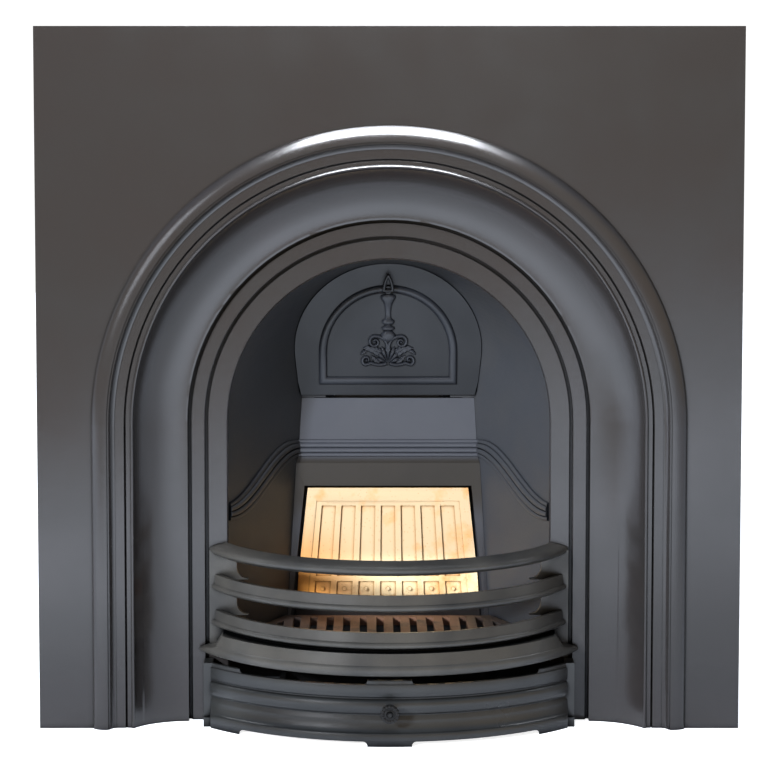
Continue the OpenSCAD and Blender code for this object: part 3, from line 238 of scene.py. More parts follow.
def cast_piece(name, build, material, body, sharp_angle=48):
    """Turns a finished bmesh into a named piece that moves with a body."""
    mesh = bpy.data.meshes.new(name)
    build.to_mesh(mesh)
    build.free()
    mesh.polygons.foreach_set("use_smooth", [True] * len(mesh.polygons))
    mesh.set_sharp_from_angle(angle=math.radians(sharp_angle))
    mesh.materials.append(material)
    piece = bpy.data.objects.new(name, mesh)
    bpy.context.collection.objects.link(piece)
    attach(piece, body)


# each reed: its middle as a place down the band, half its width as a part of the band, and its height
reeds = ((0.09, 0.112, 3.5), (0.33, 0.151, 5.6), (0.635, 0.156, 5.65), (0.91, 0.116, 3.3))
# height of the moulding where it is level
reed_band = 24


def reeded_section():
    """The section of the moulding from its upper to its lower edge, as place down the band and height.
    A reed is fuller than a half round, and its points lie closest at its edges."""
    # power of the reed's oval, where 2 would be a plain one
    fullness = 3
    steps, just_inside = 12, 0.999

    def height(at):
        return max([h * (1 - abs((at - mid) / half) ** fullness) ** (1 / fullness)
                    for mid, half, h in reeds if abs(at - mid) < half] + [0.0])
    places = set()
    for mid, half, _ in reeds:
        for i in range(steps + 1):
            turn = math.cos(math.pi * i / steps)
            bent = math.copysign(abs(turn) ** (2 / fullness), turn)
            places.add(round(mid + just_inside * half * bent, 4))
    upper_edge, lower_edge, sunk = -0.03, 1.035, -1.5
    return [(upper_edge, sunk)] + [(at, height(at)) for at in sorted(places)] + [(lower_edge, sunk)]


def cheek_moulding(name, side):
    """The moulding along a cheek, in millimetres: an ogee that rises to the back and swells halfway."""
    # where the cheek meets the ring, and how far it runs in and back from there
    opening_radius, ring_back = 224, 60
    inward, backward, cheek_length = -98.6, 147, 177.0
    # height of its middle at the front, its rise to the back, and how much wider it is halfway
    front_z, rise_z, swell = 292, 71, 15
    # along the cheek: where it starts, how far it goes on, where it begins to rise, and how long it does
    first_run, whole_run, level_run, ogee_run = 0.6, 163, 1, 160.2
    steps = 48
    run_x, run_d = inward / cheek_length, backward / cheek_length
    rings = []
    for i in range(steps + 1):
        run = first_run + whole_run * i / steps
        rise = min(max((run - level_run) / ogee_run, 0), 1)
        middle = front_z + rise_z * (1 - math.cos(math.pi * rise)) / 2
        band = reed_band + swell * math.sin(math.pi * rise)
        rings.append([place(side * (opening_radius + run_x * run - run_d * high),
                            ring_back + run_d * run + run_x * high,
                            middle + band * (0.5 - at)) for at, high in reeded_section()])
    cast_skin(name, rings, fire_black, "insert")


cheek_moulding("cheek_moulding_left", -1)
cheek_moulding("cheek_moulding_right", 1)


# ---- Smoke hood ---------------------------------------------------------------------------
# The tapering vault that leads smoke from the arch back to the flue, cast in one with its flanges.
# The same dulled iron as the cheeks.

finish_casting("smoke_hood", fire_black, edge_mm=0)


# ---- Flue frame ---------------------------------------------------------------------------
# The throat that the flue door shuts against, with the collar that leads back into the chimney.
# Cast iron, bolted to the hood's and the cheeks' back flanges.

finish_casting("flue_frame", fire_black, edge_mm=0.5)


# ---- Back panel ---------------------------------------------------------------------------
# The leaning iron back, with a reeded band across it and the pocket that holds the brick.
# Its blacking has burnt to a paler graphite grey, and the plain rail over the brick to brown.

def heated_iron():
    """Graphite grey iron, browned in the band of heat just over the brick: dull, dry and cloudy."""
    material, tree = blank_material("heat_greyed_cast_iron")
    spot = add(tree, "ShaderNodeTexCoord").outputs["Object"]
    height = add(tree, "ShaderNodeSeparateXYZ", links={"Vector": spot}).outputs["Z"]
    # clouds of burnt blacking, about 60 mm across
    clouds = add(tree, "ShaderNodeTexNoise", values={"Scale": 1 / 0.06, "Detail": 4.0},
                 links={"Vector": spot})
    # sand grain, drawn twice as coarse as it is so that it shows
    grain = add(tree, "ShaderNodeTexNoise", values={"Scale": 1 / 0.0014, "Detail": 4.0},
                links={"Vector": spot})
    # brown on the rail, which ends under the reeds, 350 mm above the hearth, and fading out
    # down the strips beside the brick
    over = add(tree, "ShaderNodeMapRange", smooth, links={"Value": height},
               values={"From Min": 0.343, "From Max": 0.354, "To Min": 1.0, "To Max": 0.0})
    under = add(tree, "ShaderNodeMapRange", smooth, links={"Value": height},
                values={"From Min": 0.24, "From Max": 0.3})
    rail = add(tree, "ShaderNodeMath", {"operation": "MULTIPLY"},
               links={0: over.outputs["Result"], 1: under.outputs["Result"]})
    grey = add(tree, "ShaderNodeMix", coloured, {"A": colour("#3a3c42"), "B": colour("#434549")},
               {"Factor": clouds.outputs["Fac"]})
    brown = add(tree, "ShaderNodeMix", coloured, {"A": colour("#211f1c"), "B": colour("#2f2b25")},
                {"Factor": clouds.outputs["Fac"]})
    base = add(tree, "ShaderNodeMix", coloured, links={
        "Factor": rail.outputs["Value"], "A": grey.outputs["Result"], "B": brown.outputs["Result"]})
    # low down, beside the coals, soot darkens it
    low = add(tree, "ShaderNodeMapRange", smooth, links={"Value": height},
              values={"From Min": 0.2, "From Max": 0.3})
    base = add(tree, "ShaderNodeMix", coloured, {"A": colour("#303032")},
               {"Factor": low.outputs["Result"], "B": base.outputs["Result"]})
    bump = add(tree, "ShaderNodeBump", values={"Strength": 0.5, "Distance": 0.0002},
               links={"Height": grain.outputs["Fac"]})
    shader = add(tree, "ShaderNodeBsdfPrincipled", values={"Roughness": 0.48, "IOR": 1.7},
                 links={"Base Color": base.outputs["Result"], "Normal": bump.outputs["Normal"]})
    add(tree, "ShaderNodeOutputMaterial", links={"Surface": shader.outputs["BSDF"]})
    return material


heat_greyed = heated_iron()
finish_casting("back_panel", heat_greyed, edge_mm=0.4)

# depth of the panel's face where it would meet the hearth, and how far it leans back by its top
panel_foot, lean_back, panel_top = 169, 37, 435.5
panel_lean = math.atan(lean_back / panel_top)
# middle of its reeds up the slope, half their length between the cheeks, and about half of that
panel_reeds_up, panel_half_width, halfway = 364.3, 133.2, 66


def on_panel(x, behind, up):
    """A point in the panel's own plane, which leans back 4.9 degrees from a line on the hearth."""
    return place(x, panel_foot + behind * math.cos(panel_lean) + up * math.sin(panel_lean),
                 up * math.cos(panel_lean) - behind * math.sin(panel_lean))


cast_skin("panel_moulding",
          [[on_panel(x, -high, panel_reeds_up + reed_band * (0.5 - at)) for at, high in reeded_section()]
           for x in (-panel_half_width, -halfway, 0, halfway, panel_half_width)], heat_greyed, "insert")


# ---- Fire brick ---------------------------------------------------------------------------
# A pressed block of cream fireclay that takes the heat behind the fire and stands in the pocket.
# Its face has long and square hollows; the kiln has left it sandy and toasted at the edges.

def fired_clay():
    """Fireclay: a sandy, chalky cream with grog specks, scorched ochre in cloudy patches."""
    material, tree = blank_material("pressed_fireclay")
    spot = add(tree, "ShaderNodeTexCoord").outputs["Object"]
    height = add(tree, "ShaderNodeSeparateXYZ", links={"Vector": spot}).outputs["Z"]
    # clouds that the heat has left, about 50 mm across
    clouds = add(tree, "ShaderNodeTexNoise", links={"Vector": spot},
                 values={"Scale": 1 / 0.05, "Detail": 6.0, "Roughness": 0.62})
    # sand, drawn as grains of 1.4 mm, about twice as coarse as it is, so that it shows
    sand = add(tree, "ShaderNodeTexNoise", values={"Scale": 1 / 0.0014, "Detail": 3.0},
               links={"Vector": spot})
    # grog: crushed brick in grains of one to two millimetres, six millimetres apart
    grog = add(tree, "ShaderNodeTexVoronoi", values={"Scale": 1 / 0.006}, links={"Vector": spot})
    # paler low down, behind the bars, where the clay would otherwise be lost in their shade
    low = add(tree, "ShaderNodeMapRange", smooth, links={"Value": height},
              values={"From Min": 0.185, "From Max": 0.215, "To Min": 1.0, "To Max": 0.0})
    cream = add(tree, "ShaderNodeMix", coloured, {"A": colour("#d2b78f"), "B": colour("#ffe5b2")},
                {"Factor": low.outputs["Result"]})
    scorch = add(tree, "ShaderNodeMapRange", values={"From Min": 0.52, "From Max": 0.8},
                 links={"Value": clouds.outputs["Fac"]})
    # the lower left corner lay next to the hottest coals and is toasted a deep ochre
    hot_corner = (-0.15, 0.12, 0.13)
    corner = add(tree, "ShaderNodeVectorMath", {"operation": "DISTANCE"}, {1: hot_corner}, {0: spot})
    toast = add(tree, "ShaderNodeMapRange", smooth, links={"Value": corner.outputs["Value"]},
                values={"From Min": 0.04, "From Max": 0.16, "To Min": 0.95, "To Max": 0.0})
    scorch = add(tree, "ShaderNodeMath", {"operation": "MAXIMUM"},
                 links={0: scorch.outputs["Result"], 1: toast.outputs["Result"]})
    base = add(tree, "ShaderNodeMix", coloured, {"B": colour("#dc9038")},
               {"Factor": scorch.outputs["Value"], "A": cream.outputs["Result"]})
    # painted shade: the corners of the hollows are drawn a darker brown
    corners = add(tree, "ShaderNodeAmbientOcclusion", {"samples": 6}, {"Distance": 0.005})
    painted_hollow_shade = add(tree, "ShaderNodeMapRange", links={"Value": corners.outputs["AO"]},
                values={"From Min": 0.45, "From Max": 0.9, "To Min": 1.0, "To Max": 0.0})
    base = add(tree, "ShaderNodeMix", coloured, {"B": colour("#966830")},
               {"Factor": painted_hollow_shade.outputs["Result"], "A": base.outputs["Result"]})
    fleck = add(tree, "ShaderNodeMapRange", links={"Value": grog.outputs["Distance"]},
                values={"From Min": 0.1, "From Max": 0.16, "To Min": 0.45, "To Max": 0.0})
    base = add(tree, "ShaderNodeMix", coloured, {"B": colour("#a8713f")},
               {"Factor": fleck.outputs["Result"], "A": base.outputs["Result"]})
    # the foot stands in the ash and is black with soot
    ashes = add(tree, "ShaderNodeMapRange", smooth, links={"Value": height},
                values={"From Min": 0.134, "From Max": 0.142, "To Min": 1.0, "To Max": 0.0})
    base = add(tree, "ShaderNodeMix", coloured, {"B": colour("#2b2725")},
               {"Factor": ashes.outputs["Result"], "A": base.outputs["Result"]})
    bump = add(tree, "ShaderNodeBump", values={"Strength": 0.5, "Distance": 0.0004},
               links={"Height": sand.outputs["Fac"]})
    shader = add(tree, "ShaderNodeBsdfPrincipled", values={"Roughness": 0.92, "IOR": 1.45},
                 links={"Base Color": base.outputs["Result"], "Normal": bump.outputs["Normal"]})
    add(tree, "ShaderNodeOutputMaterial", links={"Surface": shader.outputs["BSDF"]})
    return material


finish_casting("fire_brick", fired_clay(), edge_mm=1.0)


# ---- Flue door ----------------------------------------------------------------------------
# A round topped iron flap, hinged at its foot, that leans forward to open the flue.
# Its raised frame is a rounded bead, and a plain classical spray is cast in low relief inside it.

door_black = blacked_iron("smoked_door_cast_iron", "#0d0f12", "#151618", tooth=0.5, grain_mm=1.4,
                          rubbed_rough=0.32, dull_rough=0.42, film_ior=1.5, quirk_mm=3)
# the ornament and the frame bead are paler than the field round them: partly rubbed by the brush, partly a
# painted highlight for the light they catch
relief_black = blacked_iron("brushed_and_highlit_relief_cast_iron", "#101216", "#25272b", tooth=0.5, grain_mm=1.4,
                            rubbed_rough=0.28, dull_rough=0.38, film_ior=1.5, quirk_mm=3)
finish_casting("flue_door", door_black, edge_mm=0.4)

door_lean = math.radians(9)
# depth and height of the lower edge of the door's face
door_face_foot, door_foot_z = 199.79, 441


def on_door(x, out, up):
    """A point on the door: across, out from its face, and up it from its lower edge."""
    return place(x, door_face_foot - out * math.cos(door_lean) - up * math.sin(door_lean),
                 door_foot_z - out * math.sin(door_lean) + up * math.cos(door_lean))


def frame_bead():
    """The bead over the door's raised frame: half an oval, 12 mm wide, round the arch and along the sill."""
    half_width, height, sunk, root = 6, 4.6, 0.2, -1.0
    oval_steps, arch_steps = 12, 64
    # radius and centre of the arch, and the middle of the sill, up from the door's lower edge
    arch_radius, arch_up, sill_up = 94.5, 63.5, 21.5
    oval = [(half_width * math.cos(math.pi * i / oval_steps),
             height * math.sin(math.pi * i / oval_steps) - sunk) for i in range(oval_steps + 1)]
    section = oval + [(-half_width, root), (half_width, root)]
    rings = []
    for turn in [math.pi * i / arch_steps for i in range(arch_steps + 1)]:
        rings.append([on_door((arch_radius + off) * math.cos(turn), out,
                              arch_up + (arch_radius + off) * math.sin(turn)) for off, out in section])
    for side in (-1, 1):
        rings.append([on_door(side * (arch_radius + off), out, sill_up - off) for off, out in section])
    cast_skin("door_frame_bead", rings, relief_black, "door", closed=True)


frame_bead()


def relief(build, line, wide, high, ridge=0.0):
    """A raised leaf, scroll or lobe on the door: an oval section that follows a line of places on its face,
    with its half width and height at each place. A ridge leaves a rib along its middle."""
    rows = []
    steps = 10
    # its edges are let into the field, its back is buried in the door, and its oval is a full one
    let_in, back, fullness = 0.1, -0.8, 0.8
    for i, (x, up) in enumerate(line):
        before, after = line[max(i - 1, 0)], line[min(i + 1, len(line) - 1)]
        along = Vector((after[0] - before[0], after[1] - before[1])).normalized()
        half, rise = wide[i], high[i]
        row = []
        for k in range(steps + 1):
            turn = math.pi * k / steps
            off = half * math.cos(turn)
            ribbed = 1 - ridge * math.cos(turn * 2) ** 2
            out = rise * (math.sin(turn) ** fullness) * ribbed - let_in
            row.append(on_door(x - along.y * off, out, up + along.x * off))
        row.append(on_door(x + along.y * half, back, up - along.x * half))
        row.append(on_door(x - along.y * half, back, up + along.x * half))
        rows.append([build.verts.new(point) for point in row])
    for near, far in zip(rows, rows[1:]):
        for k in range(len(near)):
            j = (k + 1) % len(near)
            build.faces.new((near[k], near[j], far[j], far[k]))
    build.faces.new(rows[0][::-1])
    build.faces.new(rows[-1])


def scroll_line(side, turns):
    """Places along a scroll: each turn is a centre, a first and last radius, and a first and last angle."""
    line = []
    degrees_a_step, fewest = 14, 4
    for x, up, radius_from, radius_to, angle_from, angle_to in turns:
        steps = max(fewest, int(abs(angle_to - angle_from) / degrees_a_step))
        for i in range(steps + 1):
            part = i / steps
            angle = math.radians(angle_from + (angle_to - angle_from) * part)
            radius = radius_from + (radius_to - radius_from) * part
            line.append((side * (x + radius * math.cos(angle)), up + radius * math.sin(angle)))
    return line


def stem(build):
    """The slender turned stem between the scrolls and the handle, in half round."""
    # half width at each height
    turned = [(3, 78), (6, 80), (9.5, 83), (11, 87), (10.4, 91), (7.4, 94.5), (5, 96.5), (9, 98),
              (10.2, 99.8), (9, 101.6), (5, 103), (4.4, 105), (8, 106.6), (9.6, 109), (9, 111.5),
              (5.8, 113.5), (4.4, 116), (4.2, 122), (4.6, 128), (5.4, 133), (7, 138), (9.4, 142),
              (11.2, 145), (11, 148), (6.5, 150.4)]
    flatness, highest = 0.7, 5.4
    relief(build, [(0, up) for _, up in turned], [half for half, _ in turned],
           [min(half * flatness, highest) for half, _ in turned])


def scrolls(build, side):
    """The large scroll beside the stem and the foot scroll, each rolled in at its end round a small ball."""
    upper = ((17, 72, 16, 16, 200, 90), (19, 79.5, 8.8, 2.2, 80, -330))
    lower = ((14, 74, 29, 28, 246, 292), (31, 52.5, 7.4, 2.0, 286, 590))
    # how much narrower each one ends; then for each its half width, its height, and how much lower it ends
    taper = 1.2
    for turns, half, high, fall in ((upper, 2.9, 4.4, 1.4), (lower, 3.0, 4.6, 1.6)):
        line = scroll_line(side, turns)
        last = len(line) - 1
        relief(build, line, [half - taper * i / last for i in range(last + 1)],
               [high - fall * i / last for i in range(last + 1)])


def scroll_eyes(build, side):
    """The small ball in the eye of each scroll."""
    radius, height = 2.4, 5.2
    thinnest, lowest, fullness, steps = 0.2, 0.4, 0.6, 8
    for x, up in ((19, 79.5), (31, 52.5)):
        line, wide, high = [], [], []
        for i in range(steps + 1):
            bulge = math.sin(math.pi * i / steps)
            line.append((side * x, up - radius + 2 * radius * i / steps))
            wide.append(max(radius * bulge, thinnest))
            high.append(max(height * bulge ** fullness, lowest))
        relief(build, line, wide, high)


def leaves(build, side):
    """Lobed leaves that fill the space between the two scrolls."""
    steps, lobes, lobe_depth, thinnest = 24, 4, 0.2, 0.35
    edge_height, crown_height = 1.2, 2.9
    # a leaf has some width where it starts already, and is fullest just before its middle
    first, grown, fullness = 0.06, 0.92, 0.75
    # where each starts and ends, how far it bends up, and half its width
    for x0, up0, x1, up1, bend, broad in ((9, 56, 37, 70, 5, 5.2), (10, 50, 25, 60, -3, 3.6),
                                          (8, 63, 27, 66, 4, 4.0), (30, 66, 40, 60, 2, 3.0)):
        line, wide, high = [], [], []
        for i in range(steps + 1):
            part = i / steps
            lift = bend * math.sin(math.pi * part)
            line.append((side * (x0 + (x1 - x0) * part), up0 + (up1 - up0) * part + lift))
            swell = math.sin(math.pi * min(part * grown + first, 1)) ** fullness
            lobed = 1 + lobe_depth * math.cos(part * 2 * lobes * math.pi)
            wide.append(max(broad * swell * lobed, thinnest))
            high.append(edge_height + crown_height * swell)
        relief(build, line, wide, high, ridge=0.35)


def fan(build):
    """Seven lobes that spread from the foot of the spray."""
    # where the lobes meet, and how far out of that each one starts
    foot_up, inner = 47, 3
    steps, slim, swell, thinnest = 14, 0.9, 2.6, 0.4
    edge_height, crown_height = 1.4, 3.2
    # both are fullest past the middle of a lobe, the width further out than the height
    width_lag, height_lag = 1.6, 1.4
    # lean of each lobe from upright, in degrees, and its length
    for lean, reach in ((-62, 15), (-40, 20), (-20, 24), (0, 26), (20, 24), (40, 20), (62, 15)):
        angle = math.radians(90 + lean)
        line, wide, high = [], [], []
        for i in range(steps + 1):
            part, far = i / steps, inner + reach * i / steps
            line.append((far * math.cos(angle), foot_up + far * math.sin(angle)))
            wide.append(max(slim + swell * math.sin(math.pi * part ** width_lag), thinnest))
            high.append(edge_height + crown_height * math.sin(math.pi * part ** height_lag))
        relief(build, line, wide, high)


def door_spray():
    """The ornament, cast with the door: a stem, scrolls and leaves on both sides, and a fan."""
    build = bmesh.new()
    stem(build)
    for side in (-1, 1):
        scrolls(build, side)
        leaves(build, side)
        scroll_eyes(build, side)
    fan(build)
    bmesh.ops.recalc_face_normals(build, faces=build.faces)
    cast_piece("door_spray", build, relief_black, "door", sharp_angle=60)


door_spray()


# ---- Door handle --------------------------------------------------------------------------
# A pointed loop of round iron rod for a poker, riveted to the crown of the door's raised arch.
# Blacked with the door.

finish_casting("door_handle", door_black, edge_mm=0)


# ---- Hinge pins ---------------------------------------------------------------------------
# Two headed pins of plain steel that carry the door, through its lugs and the frame's ears.
# Turned from rod and left bare, like the bolts.

finish_casting("door_hinge_pins", dry_steel, edge_mm=0.3)


# ---- Bottom grate -------------------------------------------------------------------------
# The slotted iron casting that carries the fire, laid loose on four lugs.
# Heat has burned the blacking off to a brown scale.

def burnt_iron():
    """Cast iron that has been red hot: rust brown and grey scale in patches, rough and dry."""
    material, tree = blank_material("burnt_cast_iron")
    spot = add(tree, "ShaderNodeTexCoord").outputs["Object"]
    patches = add(tree, "ShaderNodeTexNoise", links={"Vector": spot},
                  values={"Scale": 1 / 0.045, "Detail": 6.0, "Roughness": 0.65})
    # flakes of scale, about 2 mm across
    flakes = add(tree, "ShaderNodeTexNoise", values={"Scale": 1 / 0.0018, "Detail": 4.0},
                 links={"Vector": spot})
    rust = add(tree, "ShaderNodeMapRange", values={"From Min": 0.3, "From Max": 0.5},
               links={"Value": patches.outputs["Fac"]})
    # the fire sits in the middle, so the rust is there and the ends stay grey
    across = add(tree, "ShaderNodeSeparateXYZ", links={"Vector": spot}).outputs["X"]
    aside = add(tree, "ShaderNodeMath", {"operation": "ABSOLUTE"}, links={0: across})
    middle = add(tree, "ShaderNodeMapRange", smooth, links={"Value": aside.outputs["Value"]},
                 values={"From Min": 0.07, "From Max": 0.15, "To Min": 1.0, "To Max": 0.1})
    rust = add(tree, "ShaderNodeMath", {"operation": "MULTIPLY"},
               links={0: rust.outputs["Result"], 1: middle.outputs["Result"]})
    base = add(tree, "ShaderNodeMix", coloured, {"A": colour("#2c2b2b"), "B": colour("#80604c")},
               {"Factor": rust.outputs["Value"]})
    bump = add(tree, "ShaderNodeBump", values={"Strength": 0.6, "Distance": 0.0004},
               links={"Height": flakes.outputs["Fac"]})
    shader = add(tree, "ShaderNodeBsdfPrincipled", values={"Roughness": 0.72, "IOR": 1.6},
                 links={"Base Color": base.outputs["Result"], "Normal": bump.outputs["Normal"]})
    add(tree, "ShaderNodeOutputMaterial", links={"Surface": shader.outputs["BSDF"]})
    return material


finish_casting("bottom_grate", burnt_iron(), edge_mm=0.5)


# ---- Front bars ---------------------------------------------------------------------------
# Three bowed bars and the moulded ledge under them, one iron casting that hangs on four steel studs.
# Its blacking is worn to a brown grey wherever hands and tools have touched it.

satin_black = blacked_iron("satin_cast_iron", "#15181b", "#42403b", tooth=0.4, grain_mm=1.3,
                           rubbed_rough=0.32, dull_rough=0.44, quirk_mm=14)
finish_casting("front_bars", satin_black, edge_mm=0.6)
finish_casting("bar_studs", dry_steel, edge_mm=0.2)


# ---- Ash cover ----------------------------------------------------------------------------
# The bowed front of the ash pit: a loose moulded casting that stands on small feet.
# It stays cool, so its blacking is the freshest; painted shade darkens the lines of its mouldings.

cover_black = blacked_iron("fresh_blacked_cast_iron", "#0b0d0f", "#262726", tooth=0.4, grain_mm=1.3,
                           rubbed_rough=0.27, dull_rough=0.36, film_ior=1.7, quirk_mm=12)
finish_casting("ash_cover", cover_black, edge_mm=0.6)


# ---- Knob ---------------------------------------------------------------------------------
# A cast iron rosette on a steel stud, nutted behind the cover.
# It is blacked like the cover, and handling has left it darker, with a finer grain.

knob_black = blacked_iron("handled_cast_iron", "#08090a", "#191817", tooth=0.3, grain_mm=1.0,
                          rubbed_rough=0.30, dull_rough=0.4, film_ior=1.5, quirk_mm=4)
finish_casting("cover_knob", knob_black, edge_mm=0)
finish_casting("knob_stud", dry_steel, edge_mm=0.2)
finish_casting("knob_nut", dry_steel, edge_mm=0.3)


# ---- Ash pan ------------------------------------------------------------------------------
# A folded steel tray under the grate, with a riveted strap handle.
# It is painted all over with black heat paint.

def heat_paint():
    """Matte black heat paint over sheet steel: even and dry, with a faint orange peel."""
    material, tree = blank_material("matte_heat_paint")
    spot = add(tree, "ShaderNodeTexCoord").outputs["Object"]
    # orange peel in waves of 2.5 mm
    peel = add(tree, "ShaderNodeTexNoise", values={"Scale": 1 / 0.0025, "Detail": 2.0},
               links={"Vector": spot})
    # ash dust in clouds of 60 mm
    dust = add(tree, "ShaderNodeTexNoise", values={"Scale": 1 / 0.06, "Detail": 5.0},
               links={"Vector": spot})
    base = add(tree, "ShaderNodeMix", coloured, {"A": colour("#101011"), "B": colour("#232322")},
               {"Factor": dust.outputs["Fac"]})
    bump = add(tree, "ShaderNodeBump", values={"Strength": 0.3, "Distance": 0.0002},
               links={"Height": peel.outputs["Fac"]})
    shader = add(tree, "ShaderNodeBsdfPrincipled", values={"Roughness": 0.68, "IOR": 1.5},
                 links={"Base Color": base.outputs["Result"], "Normal": bump.outputs["Normal"]})
    add(tree, "ShaderNodeOutputMaterial", links={"Surface": shader.outputs["BSDF"]})
    return material


pan_black = heat_paint()
for name in ("ash_pan", "pan_handle", "pan_rivets"):
    finish_casting(name, pan_black, edge_mm=0.2)


# ---- Floor and card -----------------------------------------------------------------------
# A plain pale studio floor, and a lit white card on it that the iron reflects and the camera doesn't see.
# Both are flat sheets of the studio, and no part of the object.

def flat_sheet(name, corners, material):
    """A flat sheet of the studio through the corners given, in metres."""
    mesh = bpy.data.meshes.new(name)
    build = bmesh.new()
    build.faces.new([build.verts.new(corner) for corner in corners])
    build.to_mesh(mesh)
    build.free()
    mesh.materials.append(material)
    sheet = bpy.data.objects.new(name, mesh)
    bpy.context.collection.objects.link(sheet)


floor_white, tree = blank_material("white_studio_floor")
# to the camera it is lit from below as well and photographs white, and to the iron it is pale grey felt
lit = add(tree, "ShaderNodeBsdfPrincipled", values={
    "Base Color": colour("#f6f8fa"), "Roughness": 0.9,
    "Emission Color": colour("#ffffff"), "Emission Strength": 0.85})
felt = add(tree, "ShaderNodeBsdfDiffuse", values={"Color": colour("#dfe3e8")})
seen = add(tree, "ShaderNodeLightPath").outputs["Is Camera Ray"]
floor = add(tree, "ShaderNodeMixShader", links={0: seen, 1: felt.outputs["BSDF"], 2: lit.outputs["BSDF"]})
add(tree, "ShaderNodeOutputMaterial", links={"Surface": floor.outputs["Shader"]})
# the front edge runs askew, nearer on the left, and the plate's polish reflects it
flat_sheet("studio_floor",
           ((-1.1, -1.9, 0), (2.4, -8.8, 0), (9, -8.8, 0), (9, 9, 0), (-9, 9, 0), (-9, -1.9, 0)), floor_white)

card_glow, tree = blank_material("lit_white_card")
spot = add(tree, "ShaderNodeTexCoord").outputs["Object"]
# its light falls off towards the iron and to the right
away = add(tree, "ShaderNodeVectorMath", {"operation": "DOT_PRODUCT"}, {1: (0.5, 1.0, 0)}, {0: spot})
fade = add(tree, "ShaderNodeMapRange", smooth, links={"Value": away.outputs["Value"]},
           values={"From Min": -1.6, "From Max": -0.4, "To Min": 2.5, "To Max": 1.05})
glow = add(tree, "ShaderNodeEmission", values={"Color": colour("#e6f0ff")},
           links={"Strength": fade.outputs["Result"]})
unseen = add(tree, "ShaderNodeBsdfTransparent")
seen = add(tree, "ShaderNodeLightPath").outputs["Is Camera Ray"]
card = add(tree, "ShaderNodeMixShader", links={0: seen, 1: glow.outputs[0], 2: unseen.outputs[0]})
add(tree, "ShaderNodeOutputMaterial", links={"Surface": card.outputs["Shader"]})
card_z = 0.001
flat_sheet("floor_card",
           ((-1.6, -0.9, card_z), (-1.35, -1.4, card_z), (1.35, -6.7, card_z), (1.6, -0.9, card_z),
            (1.6, -0.4, card_z), (-1.6, -0.4, card_z)), card_glow)


# ---- Studio walls -------------------------------------------------------------------------
# What the polish reflects past the floor: a warm dim room in front, cool white flats at the sides,
# brighter ones behind the object, and a bluish loft overhead. The camera sees plain white there.

world = bpy.data.worlds.new("white_studio")
bpy.context.scene.world = world
world.use_nodes = True
tree = world.node_tree
tree.nodes.clear()
facing = add(tree, "ShaderNodeTexCoord").outputs["Generated"]
heading = add(tree, "ShaderNodeSeparateXYZ", links={"Vector": facing})
# the room is darker on the left
dusk = add(tree, "ShaderNodeMapRange", smooth, links={"Value": heading.outputs["X"]},
           values={"From Min": -0.5, "From Max": 0.5, "To Min": 0.5, "To Max": 0.78})
room = add(tree, "ShaderNodeBackground", values={"Color": colour("#d2bb9d")},
           links={"Strength": dusk.outputs["Result"]})
# the flats are brighter on the left, and brightest behind
lean = add(tree, "ShaderNodeMapRange", smooth, links={"Value": heading.outputs["X"]},
           values={"From Min": -0.7, "From Max": 0.4, "To Min": 0.7, "To Max": 0.45})
behind = add(tree, "ShaderNodeMapRange", smooth, links={"Value": heading.outputs["Y"]},
             values={"From Min": 0.1, "From Max": 0.5, "To Min": 1.0, "To Max": 7.0})
bright = add(tree, "ShaderNodeMath", {"operation": "MULTIPLY"},
             links={0: lean.outputs["Result"], 1: behind.outputs["Result"]})
cool = add(tree, "ShaderNodeBackground", values={"Color": colour("#e6eefc")},
           links={"Strength": bright.outputs["Value"]})
flats = add(tree, "ShaderNodeMapRange", smooth, links={"Value": heading.outputs["Y"]},
            values={"From Min": -0.3, "From Max": 0.0})
around = add(tree, "ShaderNodeMixShader",
             links={0: flats.outputs["Result"], 1: room.outputs[0], 2: cool.outputs[0]})
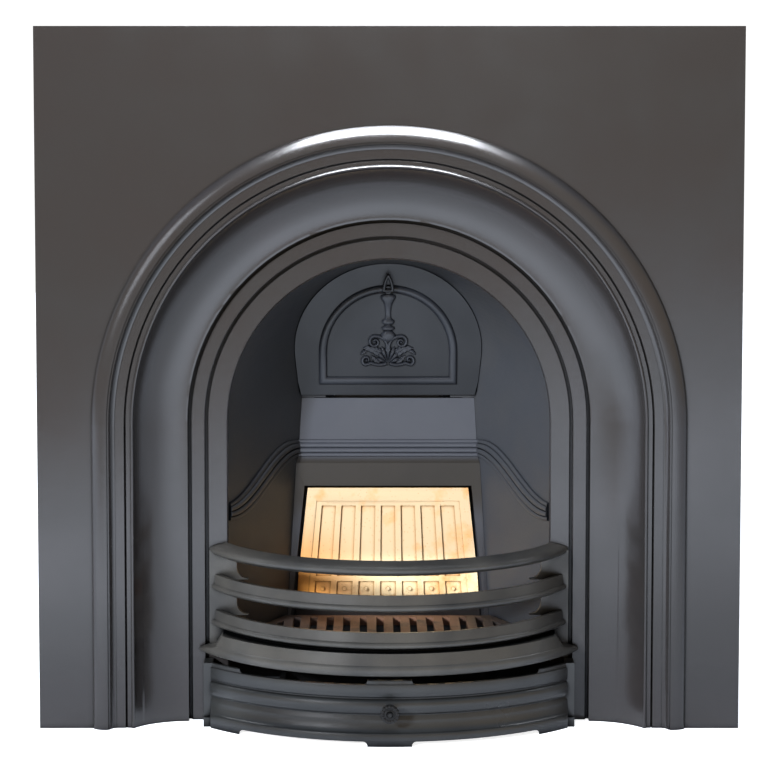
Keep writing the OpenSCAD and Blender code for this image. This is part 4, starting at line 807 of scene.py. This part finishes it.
above = add(tree, "ShaderNodeMapRange", smooth, links={"Value": heading.outputs["Z"]},
            values={"From Min": 0.3, "From Max": 0.65})
loft = add(tree, "ShaderNodeBackground", values={"Color": colour("#c3cfe6"), "Strength": 0.3})
around = add(tree, "ShaderNodeMixShader",
             links={0: above.outputs["Result"], 1: around.outputs[0], 2: loft.outputs[0]})
white = add(tree, "ShaderNodeBackground", values={"Strength": 1.1, "Color": (1, 1, 1, 1)})
seen = add(tree, "ShaderNodeLightPath").outputs["Is Camera Ray"]
around = add(tree, "ShaderNodeMixShader", links={0: seen, 1: around.outputs[0], 2: white.outputs[0]})
add(tree, "ShaderNodeOutputWorld", links={"Surface": around.outputs["Shader"]})


# ---- Lights -------------------------------------------------------------------------------
# A soft key from the left, low and far off, and a strip hung close over the plate.

def soft_light(name, at, towards, size, watts, tint):
    """An area light of a width and a height in metres, aimed at a point."""
    lamp = bpy.data.lights.new(name, "AREA")
    lamp.shape = "RECTANGLE"
    lamp.size, lamp.size_y = size
    lamp.energy = watts
    lamp.color = colour(tint)[:3]
    light = bpy.data.objects.new(name, lamp)
    bpy.context.collection.objects.link(light)
    light.location = at
    light.rotation_euler = (towards - at).to_track_quat("-Z", "Y").to_euler()
    return light


key_stand, fire = place(-3600, -5140, 2440), place(0, 0, 400)
key = soft_light("key_softbox", key_stand, fire, size=(0.8, 0.8), watts=960, tint="#edf3ff")
# a scrim keeps the key's hot middle out of the polish, which reflects only the scrim
key.visible_glossy = False
scrim = soft_light("key_scrim", key_stand, fire, size=(1.8, 1.8), watts=60, tint="#edf3ff")
scrim.visible_diffuse = False
# flagged off the castings below, so that only the arch's crown shines
strip = soft_light("overhead_strip", place(0, -760, 1700), place(0, -760, 0), size=(0.8, 1.3),
                   watts=215, tint="#f4f8ff")
strip.visible_diffuse = False
crown = bpy.data.collections.new("under_the_strip")
for name in ("face_plate", "arch_ring"):
    crown.objects.link(nodes[name])
strip.light_linking.receiver_collection = crown

bpy.context.scene.view_settings.view_transform = "Standard"
